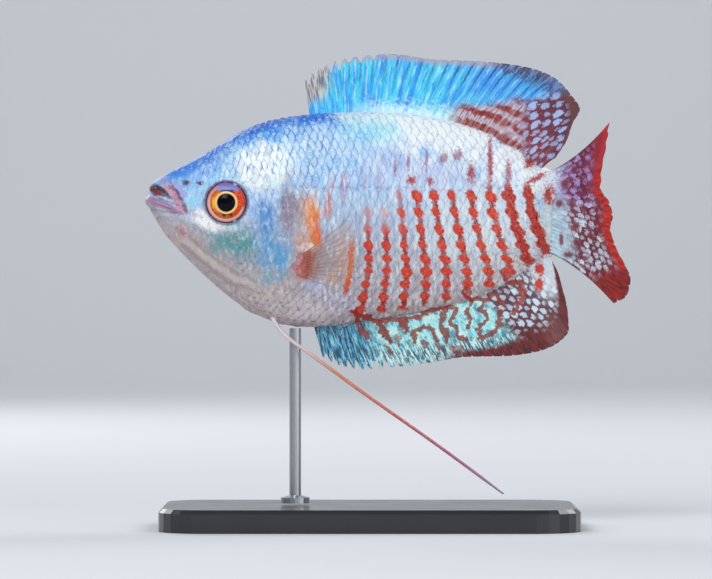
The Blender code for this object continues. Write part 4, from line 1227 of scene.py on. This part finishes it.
# Half the skin's thickness at these shares of a ray, and how much it swells over the ray
SKIN_SHARES = (0, 0.16, 0.7, 1)
SKIN_HALF = (0.34, 0.11, 0.11, 0.05)
SKIN_SWELL = 0.5
CURVE_STEPS = 400
EVEN_SPREAD = 0.6
RAY_END = 0.985
RAY_RADII = (0.24, 0.07)
STIFF_RAY = 1.15
SOFT_RAY = 0.85
RAY_STEPS = 36
RAY_SIDES = 8
FORK_AT = 0.52
FORK_WIDE = 0.24


def steady_curve(xs, ys):
    """A smooth curve through the points that never swings past them, as a function of x."""
    xs, ys = np.array(xs, float), np.array(ys, float)
    step = np.diff(xs)
    slope = np.diff(ys) / step
    tangent = np.concatenate([[slope[0]], np.zeros(len(xs) - 2), [slope[-1]]])
    for i in range(1, len(xs) - 1):
        if slope[i - 1] * slope[i] > 0:
            tangent[i] = 2 / (1 / slope[i - 1] + 1 / slope[i])

    def value(x):
        i = np.clip(np.searchsorted(xs, x) - 1, 0, len(xs) - 2)
        t = (np.asarray(x, float) - xs[i]) / step[i]
        first = ys[i] * (1 + 2 * t) * (1 - t) ** 2 + step[i] * tangent[i] * t * (1 - t) ** 2
        return first + ys[i + 1] * t * t * (3 - 2 * t) + step[i] * tangent[i + 1] * t * t * (t - 1)

    return value


def ray_curves(rays):
    """A steady curve for each column of a table of rays, over shares of the fin's length."""
    return [steady_curve(np.linspace(0, 1, len(rays)), column) for column in zip(*rays)]


def long_fin_place(rays, edge, sign, bow):
    """Where a share of the fin's length and a share of a ray's length lie, and the midline's slope."""
    root_x, tip_x, tip_z = ray_curves(rays)
    fine = np.linspace(0, 1, CURVE_STEPS)
    by_root = np.interp(np.linspace(rays[0][0], rays[-1][0], CURVE_STEPS), root_x(fine), fine)
    spread = EVEN_SPREAD * by_root + (1 - EVEN_SPREAD) * fine

    def place(u, v):
        share = np.interp(u, fine, spread)
        x0, x1, z1 = root_x(share), tip_x(share), tip_z(share)
        z0 = edge(x0) - sign * SUNK
        arch = bow * share**2 * 4 * v * (1 - v) * np.hypot(x1 - x0, z1 - z0)
        x = x0 + (x1 - x0) * v - 0.5 * arch
        across, slope = swing(x0)
        return x, across + slope * (x - x0), z0 + (z1 - z0) * v + sign * arch, slope

    return place


def ragged(count, front, rear, ends):
    """How far the skin falls short of the ray tips between the rays, deepest in front."""

    def short(u):
        ray = u * (count - 1)
        off = np.abs(ray - np.floor(ray) - 0.5)
        spiky = rise(u, ends, ends * 0.4)
        between = rise(off, 0.10 + 0.40 * spiky, 0)
        uneven = 0.55 + 0.9 * np.abs(np.sin(7.3 * np.floor(ray) + 1))
        return (rear + (front - rear) * spiky) * between * uneven

    return short


def fin_skin(name, place, count, short, finish):
    """The fin's skin: a closed sheet, thick at the root, that swells a little over each ray."""
    shares = [(ray + part) / (count - 1) for ray in range(count - 1) for part in SUB_COLUMNS] + [1.0]
    columns = len(shares)
    u, v = (g.ravel() for g in np.meshgrid(shares, np.linspace(0, 1, FIN_ROWS), indexing="ij"))
    reach = v * (1 - short(u))
    x, y, z, slope = place(u, reach)
    swell = 1 + SKIN_SWELL * np.cos(2 * math.pi * u * (count - 1)) * (1 - v)
    half = np.interp(v, SKIN_SHARES, SKIN_HALF) * swell
    length = np.hypot(1, slope)
    step = np.stack([-slope / length, 1 / length, 0 * half], 1) * half[:, None]
    middle = np.stack(np.broadcast_arrays(x, y, z), 1)
    far = columns * FIN_ROWS
    near_faces, loop = grid_faces(columns, FIN_ROWS)
    faces = []
    for a, b, c, d in near_faces:
        faces += [(a, b, c, d), (far + a, far + d, far + c, far + b)]
    for a, b in zip(loop, loop[1:] + loop[:1]):
        faces.append((a, far + a, far + b, b))
    fin = link_mesh(name, to_world(np.concatenate([middle - step, middle + step])), faces, finish)
    store(fin.data, "fin_place", np.tile(fin_measure(place, u, reach, count), (2, 1)), "FLOAT_VECTOR")
    face_outwards(fin)
    return fin


def fin_measure(place, u, v, count):
    """For the fin's finish: the place counted in rays, the share of the ray, and mm from the root."""
    start, here = np.stack(place(u, 0 * v)[:3:2], 1), np.stack(place(u, v)[:3:2], 1)
    return np.stack([u * (count - 1), v, np.linalg.norm(here - start, axis=1)], 1)


def ray_lines(place, count, short, forked_from):
    """Every ray's line, forked where it is soft: points, runs, thickness and measure."""
    points, runs, thick, measure = [], [], [], []
    for ray in range(count):
        u = ray / (count - 1)
        soft = u > forked_from
        for branch in ((-1, 1) if soft else (0,)):
            v = np.linspace(0, RAY_END, RAY_STEPS)
            spread = branch * FORK_WIDE * rise(v, FORK_AT, 1.1) * 1.5 / (count - 1)
            along = np.clip(u + spread, 0, 1)
            x, y, z, _ = place(along, v * (1 - short(along)))
            first = len(points) and sum(len(p) for p in points)
            points.append(np.stack(np.broadcast_arrays(x, y, z), 1))
            runs += [(first + i, first + i + 1) for i in range(RAY_STEPS - 1)]
            radius = RAY_RADII[0] + (RAY_RADII[1] - RAY_RADII[0]) * v**0.6
            thick.append(radius * (SOFT_RAY if soft else STIFF_RAY))
            measure.append(fin_measure(place, along, v, count))
    return np.concatenate(points), runs, np.concatenate(thick), np.concatenate(measure)


def fin_rays(name, place, count, short, finish, forked_from=0.42, thinner=1.0):
    """The rays as tapering rods in the middle of the skin, grown along their lines."""
    points, runs, thick, measure = ray_lines(place, count, short, forked_from)
    seed = link_mesh(name + "_lines", to_world(points), [], None, runs)
    store(seed.data, "thick", thick)
    store(seed.data, "fin_place", measure, "FLOAT_VECTOR")
    tree = Tree(name + "_tree", (
        ("Ray size", "NodeSocketFloat", thinner * MM), ("Finish", "NodeSocketMaterial", finish),
    ))
    lines = tree.node("GeometryNodeMeshToCurve", {}, {"Mesh": tree.given("Geometry")})
    values = {"Curve": lines, "Radius": tree.named("thick", "FLOAT")}
    sized = tree.node("GeometryNodeSetCurveRadius", {}, values)
    profile = tree.node("GeometryNodeCurvePrimitiveCircle", {}, {
        "Resolution": RAY_SIDES, "Radius": tree.given("Ray size"),
    })
    radius = tree.node("GeometryNodeInputRadius")
    values = {"Curve": sized, "Profile Curve": profile, "Fill Caps": True}
    swept = tree.node("GeometryNodeCurveToMesh", {}, values)
    scale_by = swept.socket.node.inputs.get("Scale")
    if scale_by:
        tree.tree.links.new(radius.socket, scale_by)
    real = tree.node("GeometryNodeRealizeInstances", {}, {"Geometry": swept})
    painted = tree.node("GeometryNodeSetMaterial", {}, {"Geometry": real, "Material": tree.given("Finish")})
    return tree.grow(name, seed, painted)


def fin_wires(start):
    """The wires that every fin's finish starts from."""
    place, x, z = fish_place(start)
    local = attribute(start, "fin_place", "Vector")
    ray, share, reach = (local.part(axis) for axis in "XYZ")
    return place, x, z, ray, share, reach, strands(ray * 1.9, reach * 0.16)


def spots(ray, reach, pitch, half_across, half_along, wobble):
    """Pale ovals between the rays, staggered from gap to gap, of uneven size and strength."""
    gap = ray.of("FLOOR")
    run = reach / pitch + (gap * 0.5).of("FRACT") + wobble * 0.35
    row = run.of("ROUND")
    cell = ray.node("ShaderNodeCombineXYZ", {}, {"X": gap, "Y": row})
    luck = ray.node("ShaderNodeTexWhiteNoise", {"noise_dimensions": "2D"}, {"Vector": cell})
    other = ray.node("ShaderNodeTexWhiteNoise", {"noise_dimensions": "2D"}, {"Vector": cell}, 1)
    shift = other.part("Y") - 0.5
    size = 0.60 + luck * 0.75
    across = (ray - gap - 0.5 + wobble * 0.6) / (size * half_across)
    along = (run - row + shift * 0.4 + wobble * 0.3) / (size * half_along)
    return (across * across + along * along).rise(1.4, 0.4) * (0.35 + luck * 0.65)


WET_FIN = {"Specular_IOR_Level": 0.5, "Coat_Weight": 0.25, "Coat_Roughness": 0.2}
BLOTCH_PITCH = 2.1
dorsal_finish, start = new_finish("blue_dorsal")
place, x, z, ray, share, reach, streak = fin_wires(start)
speck = grain(place, 2.2, 2.0) - 0.5
cloud = grain(place, 0.5, 2.0) - 0.5
fine = strands(ray * 5.0 + speck * 1.2, reach * 0.45)
colour = tint(streak.rise(0.36, 0.60), light(38, 154, 240), light(70, 214, 246))
colour = tint(fine.rise(0.52, 0.70) * 0.75, colour, light(146, 234, 248))
colour = tint(fine.rise(0.46, 0.30) * 0.65, colour, light(40, 118, 206))
azure = x.rise(46.5, 51.0) * share.rise(0.25, 0.55)
colour = tint(azure * 0.55, colour, light(58, 146, 240))
root_white = (share + speck * 0.5 + fine * 0.5 - 0.25).rise(0.30, 0.06) * x.rise(30.0, 37.0)
colour = tint(root_white * 0.85, colour, light(214, 248, 250))
gap = abs((ray - 0.5 + speck * 0.25).off_whole())
slit = gap.rise(0.16, 0.03) * (share + streak * 0.8 - 0.4).rise(0.35, 0.80)
colour = tint(slit * (0.50 + x.rise(43.0, 50.0) * 0.35), colour, light(18, 50, 130))
crest = abs((ray + speck * 0.2).off_whole()).rise(0.14, 0.04) * fine.rise(0.40, 0.60)
colour = tint(crest * 0.45, colour, light(206, 244, 250))
tips = (share + speck * 0.14 + streak * 0.10).rise(0.92, 1.02)
colour = tint(tips * 0.75, colour, light(178, 160, 172))
front_spines = (x - z * 0.12).rise(27.2, 24.8) * share.rise(0.20, 0.55)
spine_tone = tint(fine.rise(0.4, 0.6), light(128, 108, 110), light(216, 198, 178))
colour = tint(front_spines * 0.85, colour, spine_tone)
slant = (x - 48.0) * 0.42 + z - 14.0
dusk = (slant + speck * 3.0 + streak * 2.0).rise(8.6, 10.6) * x.rise(52.0, 55.0)
dusk_tone = tint(fine.rise(0.42, 0.62), light(30, 34, 70), light(96, 128, 190))
colour = tint(dusk * 0.85, colour, dusk_tone)
rear = (z + speck * 2.2 + cloud * 2.4 - (x - 48) * 0.10).rise(15.4, 13.6) * (x + speck * 2.2).rise(45.6, 49.0)
rear = rear.most((x + speck + cloud * 2).rise(60.6, 62.6) * (z + speck * 2).rise(17.4, 15.6))
pale = spots(ray, reach, 2.2, 0.40, 0.30, speck * 1.3)
web = tint(share.rise(0.2, 0.8), light(128, 28, 40), light(92, 24, 54))
network = tint(pale, web, light(170, 190, 236))
blotch = abs(((reach + cloud * 1.8) / BLOTCH_PITCH - 0.5).off_whole() + speck * 0.3).rise(0.36, 0.16)
blotch = blotch * (0.45 + streak.rise(0.36, 0.52) * 0.55)
ashen = tint(fine.rise(0.4, 0.6), light(150, 108, 122), light(208, 196, 212))
blotched = tint(blotch, ashen, tint(speck.rise(-0.1, 0.1), light(108, 24, 24), light(166, 40, 36)))
network = tint((x + speck * 3 + cloud * 2).rise(57.0, 59.5), blotched, network)
brown = (share + speck * 0.12).rise(0.86, 0.95).most((x + z * 0.2 + speck).rise(67.0, 68.4))
network = tint(brown, network, light(104, 48, 50))
colour = tint(rear, colour, network)
end_finish(start, colour, 0.36 + streak * 0.14, streak + speck * 0.5, 0.05, **WET_FIN)

CORNER_SPOTS = ((60.7, -10.6), (60.6, -12.9))
anal_finish, start = new_finish("maze_anal")
place, x, z, ray, share, reach, streak = fin_wires(start)
speck = grain(place, 2.2, 2.0) - 0.5
cloud = grain(place, 0.5, 2.0) - 0.5
fine = strands(ray * 4.5 + speck * 1.6, reach * 0.5)
front = tint(fine.rise(0.42, 0.60), light(26, 70, 100), light(96, 184, 214))
front = tint(fine.rise(0.56, 0.68) * (0.4 + share * 0.6), front, light(196, 232, 232))
front = tint(streak.rise(0.55, 0.66) * 0.5, front, light(40, 120, 196))
middle = tint(fine.rise(0.34, 0.56), light(96, 186, 212), light(176, 238, 236))
islands = grain(place, 0.75, 2.0)
middle = tint(islands.rise(0.50, 0.62) * 0.7, middle, light(222, 250, 240))
middle = tint(islands.rise(0.44, 0.36) * 0.7, middle, light(58, 118, 140))
lower = share.rise(0.52, 0.80)
middle = tint(lower * fine.rise(0.56, 0.44) * 0.9, middle, light(40, 78, 104))
middle = tint(lower * fine.rise(0.54, 0.62) * 0.8, middle, light(214, 238, 240))
colour = tint((x + cloud * 3 + speck * 2).rise(33.0, 37.0), front, middle)
rear = (x + (z + 20) * 0.75 + cloud * 2 + speck * 2).rise(55.0, 57.0)
pale = spots(ray, reach, 1.50, 0.39, 0.33, speck * 1.2)
maroon = tint(share.rise(0.2, 0.7), light(96, 50, 70), light(96, 28, 38))
colour = tint(rear, colour, tint(pale, maroon, light(206, 228, 242)))
wavering = drift(place, 0.45, 1.2)
for strength, half, line in ANAL_LINES:
    share_of = stroke(wavering, speck * 2.2 + cloud * 1.2, half, line)
    colour = tint(share_of * strength, colour, tint(fine, light(96, 34, 26), light(160, 58, 40)))
for half, line in FOOT_LINES:
    share_of = stroke(wavering, speck * 1.8 + cloud * 0.8, half, line)
    colour = tint(share_of * 0.92, colour, tint(fine, light(120, 36, 22), light(178, 66, 42)))
corner = (x - 58.0 + (z + 12.0) * 0.5 + speck * 2.0).rise(0.6, 2.4) * (z + speck * 2.0).rise(-16.5, -13.0)
colour = tint(corner * (0.45 + fine * 0.6), colour, light(226, 240, 248))
wide = x.rise(50.0, 60.0) * 0.14
hem = (share + wide + speck * 0.16 + fine * 0.10).rise(0.84, 0.98) * (x + speck * 3).rise(43.0, 50.0)
hem = hem.most((x + speck).rise(63.2, 64.4) * z.rise(-13.0, -16.0))
colour = tint(hem, colour, tint(fine.rise(0.4, 0.6), light(64, 12, 18), light(126, 28, 28)))
pearl = spots(ray, reach, 1.5, 0.34, 0.30, speck) * (share + speck * 0.2).rise(0.74, 0.84)
pearl = pearl * x.rise(50.0, 42.0)
colour = tint(pearl * 0.9, colour, light(206, 226, 232))
for spot_x, spot_z in CORNER_SPOTS:
    colour = tint(patch(x, z, speck * 1.4, spot_x, spot_z, 0.9, 1.2, 0.0, 0.6), colour, light(196, 46, 24))
end_finish(start, colour, 0.36 + streak * 0.14, streak + speck * 0.5, 0.05, **WET_FIN)

dorsal_place = long_fin_place(DORSAL_RAYS, back, 1, 0.05)
dorsal_short = ragged(DORSAL_COUNT, 0.15, 0.02, 0.30)
anal_place = long_fin_place(ANAL_RAYS, belly, -1, 0.03)
anal_short = ragged(ANAL_COUNT, 0.14, 0.02, 0.40)
for name, place_of, count, short, finish in (
    ("dorsal", dorsal_place, DORSAL_COUNT, dorsal_short, dorsal_finish),
    ("anal", anal_place, ANAL_COUNT, anal_short, anal_finish),
):
    fin = fin_skin(name + "_skin", place_of, count, short, finish)
    rays = fin_rays(name + "_rays", place_of, count, short, finish)
    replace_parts(fin, name + "_fin")
    for piece in (fin, rays):
        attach(piece, "root")


# Tail fin: a fan of forked rays from the tail's end, slightly hollow between its two lobes. The
# lobes end in a scarlet hem; the web between the rays is spotted.
def tail_place(u, v):
    """As long_fin_place, for the fan of the tail, whose rays bow away from the middle one."""
    root_z, tip_x, tip_z = ray_curves(TAIL_RAYS)
    x0, z0, x1, z1 = TAIL_BASE - SUNK, root_z(u), tip_x(u), tip_z(u)
    x = x0 + (x1 - x0) * v
    across, slope = swing(x)
    return x, across, z0 + (z1 - z0) * v + TAIL_BOW * (2 * u - 1) * 4 * v * (1 - v), slope


TAIL_BOW = 0.9
# Dark marks on the fin's pale root: x, z, half length, half height
TAIL_MARKS = (
    (62.2, 0.8, 1.0, 1.9), (64.6, 2.6, 0.7, 0.6), (63.8, -0.5, 0.7, 0.6), (65.8, -0.4, 0.6, 0.8),
    (64.1, -6.0, 0.4, 1.1), (66.2, -4.2, 0.8, 0.6), (66.6, -6.6, 0.7, 0.6), (65.2, -8.4, 0.8, 0.5),
    (67.9, -8.9, 0.7, 0.5), (68.7, -5.4, 0.6, 0.5), (67.8, -1.2, 0.5, 0.6), (68.4, 1.6, 0.6, 0.5),
)
tail_finish, start = new_finish("scarlet_tail")
place, x, z, ray, share, reach, streak = fin_wires(start)
speck = grain(place, 2.2, 2.0) - 0.5
fine = strands(ray * 4.0 + speck * 1.4, reach * 0.5)
upper = (z + speck * 2).rise(-4.0, 2.0)
near_root = tint(upper, light(150, 172, 190), light(136, 112, 178))
ground = tint(share.rise(0.14, 0.40), near_root, light(106, 14, 52))
pale = spots(ray, reach, 1.25, 0.58, 0.40, speck * 1.7)
colour = tint(pale * (1 - upper * 0.15), ground, tint(upper, light(222, 236, 248), light(192, 170, 234)))
dark = spots(ray + 0.5, reach, 2.1, 0.36, 0.30, speck * 1.6)
colour = tint(dark * share.rise(0.05, 0.3), colour, tint(upper, light(108, 24, 40), light(120, 34, 80)))
colour = tint((speck + fine - 0.5).rise(0.06, 0.22) * 0.6, colour, light(140, 22, 44))
root_pale = (share + speck * 0.2).rise(0.42, 0.10) * (1 - upper * 0.6)
colour = tint(root_pale * (0.25 + fine * 0.9), colour, light(206, 234, 244))
colour = tint(root_pale * streak.rise(0.50, 0.40) * 0.5, colour, light(118, 158, 184))
hide_white = (share + speck * 0.3 + fine * 0.2 - 0.1).rise(0.22, 0.04) * (z + speck * 2).rise(0.0, 2.4)
colour = tint(hide_white, colour, light(238, 244, 250))
for at_x, at_z, half_x, half_z in TAIL_MARKS:
    blot = patch(x, z, speck * 1.1, at_x, at_z, half_x * 1.2, half_z * 1.2, 0.0, 0.7)
    colour = tint(blot * 0.9, colour, tint(x.rise(62.8, 63.4), light(196, 34, 16), light(120, 22, 44)))
top = z.rise(3.0, 8.0)
colour = tint((share + speck * 0.10).rise(0.60, 0.86) * top, colour, light(160, 28, 52))
blush = (share + speck * 0.12).rise(0.70, 0.84)
colour = tint(blush * 0.7, colour, light(150, 26, 40))
hem = (share + speck * 0.10 + fine * 0.10 - top * 0.03).rise(0.86, 0.95)
scarlet = tint(fine.rise(0.35, 0.65), light(150, 12, 8), light(216, 44, 20))
colour = tint(hem, colour, tint(top, scarlet, light(186, 36, 48)))
low = (z + speck * 1.5).rise(-9.5, -12.0) * (share + speck * 0.15).rise(0.48, 0.72)
colour = tint(low, colour, tint(fine.rise(0.35, 0.65), light(96, 8, 8), light(170, 20, 12)))
end_finish(start, colour, 0.38 + streak * 0.12, streak + speck * 0.5, 0.05, **WET_FIN)
tail_short = ragged(TAIL_COUNT, 0.02, 0.02, 0.5)
fin = fin_skin("tail_skin", tail_place, TAIL_COUNT, tail_short, tail_finish)
rays = fin_rays("tail_rays", tail_place, TAIL_COUNT, tail_short, tail_finish, -1.0)
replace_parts(fin, "tail_fin")
for piece in (fin, rays):
    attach(piece, "root")


# Pectoral fins: clear fans behind the gill covers, tanned by golden rays, that stand off the flanks
# as when the fish holds its place. The web is thin enough to see the flank through it.
PECTORAL_SUNK = 0.25
clear_finish, start = new_finish("clear_pectoral")
_, _, _, ray, share, _, streak = fin_wires(start)
on_ray = abs(ray.off_whole()).rise(0.20, 0.08)
colour = tint(share.rise(0.05, 0.45), light(206, 90, 80), light(214, 176, 160))
colour = tint(on_ray * 0.5, colour, light(226, 184, 120))
clear = 0.10 + on_ray * 0.08 + share.rise(0.40, 0.0) * 0.36
end_finish(start, colour, 0.30 + streak * 0.1, streak, 0.03, Alpha=clear)
horn_finish, start = new_finish("golden_rays")
_, _, _, _, share, _, streak = fin_wires(start)
colour = tint(share.rise(0.0, 0.35), light(196, 84, 66), light(214, 156, 84))
clear = 0.90 - share.rise(0.3, 1.0) * 0.40
colour = tint(streak * 0.4, colour, light(150, 96, 84))
end_finish(start, colour, 0.35 + streak * 0.1, streak, 0.03, Alpha=clear)


def pectoral_place(side):
    """As long_fin_place, for a fan that stands off one flank."""
    root_x, root_z, tip_x, tip_z = ray_curves(PECTORAL_RAYS)

    def place(u, v):
        x0, z0 = root_x(u), root_z(u)
        x = x0 + (tip_x(u) - x0) * v
        off = half_width(x0, z0) - PECTORAL_SUNK + PECTORAL_FLARE * (x - x0) + 0.35 * v
        return x, side * off, z0 + (tip_z(u) - z0) * v, side * PECTORAL_FLARE + 0 * x

    return place


pectoral_short = ragged(PECTORAL_COUNT, 0.03, 0.03, 0.5)
for side, word in FLANKS:
    web = fin_skin("pectoral_web_" + word, pectoral_place(side), PECTORAL_COUNT, pectoral_short, clear_finish)
    rays = fin_rays("pectoral_rays_" + word, pectoral_place(side), PECTORAL_COUNT, pectoral_short,
                    horn_finish, 0.0, 0.30)
    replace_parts(web, "pectoral_fin_" + word)
    for piece in (web, rays):
        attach(piece, "root")


# Feelers: each pelvic fin is one long soft ray that hangs from the throat, white at its root, then
# salmon, then violet and nearly clear at its tip. The fish feels and tastes with them.
# Places along a feeler: x, z and distance from the middle
FEELER = (
    (18.9, -16.2, 0.9), (20.5, -19.6, 1.9), (23.8, -22.5, 2.3), (33.4, -29.5, 2.6),
    (45.0, -37.7, 2.8), (54.9, -45.0, 2.9),
)
# The radius at these shares of the length
FEELER_SHARES = (0, 0.2, 0.9, 1)
FEELER_RADII = (0.36, 0.25, 0.20, 0.10)
FEELER_STEPS = 160
FEELER_SIDES = 12
FAR_FEELER_SCALE = 1.008
FEELER_COLOURS = (
    (0.00, light(206, 204, 220)), (0.16, light(226, 206, 206)), (0.32, light(214, 130, 96)),
    (0.58, light(196, 92, 84)), (0.80, light(172, 90, 118)), (1.00, light(150, 130, 176)),
)
feeler_finish, start = new_finish("feeler_thread")
place, _, _ = fish_place(start)
run = attribute(start, "run")
joints = (run * 190).of("SINE")
bumpy = grain(place, 4.0, 2.0)
colour = start.node("ShaderNodeValToRGB", {"stops": FEELER_COLOURS}, {"Fac": run + (bumpy - 0.5) * 0.1})
colour = tint(bumpy.rise(0.5, 0.7) * 0.3, colour, light(240, 222, 220))
end_finish(start, colour, 0.34 + bumpy * 0.1, joints * 0.4 + bumpy, 0.03, Coat_Weight=0.3, Coat_Roughness=0.2)


def feeler(side, name):
    """One feeler, swept along its line and closed at both ends."""
    reach = np.array(FEELER)
    reach[:, :2] = reach[0, :2] + (reach[:, :2] - reach[0, :2]) * (FAR_FEELER_SCALE if side > 0 else 1)
    steps = np.linalg.norm(np.diff(reach, axis=0), axis=1)
    shares = np.concatenate([[0], np.cumsum(steps)]) / steps.sum()
    along = np.linspace(0, 1, FEELER_STEPS)
    x, z, off = (natural_spline(shares, column)(along) for column in reach.T)
    line = np.stack([x, side * off, z], 1)
    radius = np.interp(along, FEELER_SHARES, FEELER_RADII)
    ahead = np.gradient(line, axis=0)
    ahead /= np.linalg.norm(ahead, axis=1)[:, None]
    level = np.cross(ahead, (0, 0, 1.0))
    level /= np.linalg.norm(level, axis=1)[:, None]
    up = np.cross(level, ahead)
    turn = np.linspace(0, 2 * math.pi, FEELER_SIDES, endpoint=False)
    rings = line[:, None] + radius[:, None, None] * (
        level[:, None] * np.cos(turn)[None, :, None] + up[:, None] * np.sin(turn)[None, :, None])
    points = np.concatenate([rings.reshape(-1, 3), line[:1], line[-1:] + ahead[-1] * radius[-1]])
    faces = tube_faces(FEELER_STEPS, FEELER_SIDES)
    thread = link_mesh(name, to_world(points), faces, feeler_finish)
    face_outwards(thread)
    store(thread.data, "run", np.concatenate([np.repeat(along, FEELER_SIDES), [0, 1]]))
    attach(thread, "root")
    return thread


for side, word in FLANKS:
    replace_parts(feeler(side, "feeler_" + word), "pelvic_feeler_" + word)


# Stand: a base of black acrylic with rounded corners and a polished bevel, and one steel rod in a
# turned collar that ends under the belly. Both are the solids themselves with their finishes.
base_finish, start = new_finish("satin_acrylic")
place, _, _ = fish_place(start)
haze = grain(place, 0.12, 3.0)
dust = grain(place, 3.0, 2.0)
colour = tint(haze, light(26, 27, 30), light(40, 41, 45))
end_finish(start, colour, 0.20 + haze * 0.16 + dust * 0.06, dust, 0.004, Coat_Weight=0.4, Coat_Roughness=0.08)
rod_finish, start = new_finish("brushed_steel")
place, _, _ = fish_place(start)
brushed = grain(place, 2.4, 2.0, (1, 1, 0.08))
colour = tint(brushed, light(150, 152, 156), light(206, 208, 212))
end_finish(start, colour, 0.22 + brushed * 0.2, brushed, 0.01, Metallic=1.0)
for node, finish in (("stand_base", base_finish), ("stand_rod", rod_finish)):
    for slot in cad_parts[node].material_slots:
        slot.material = finish
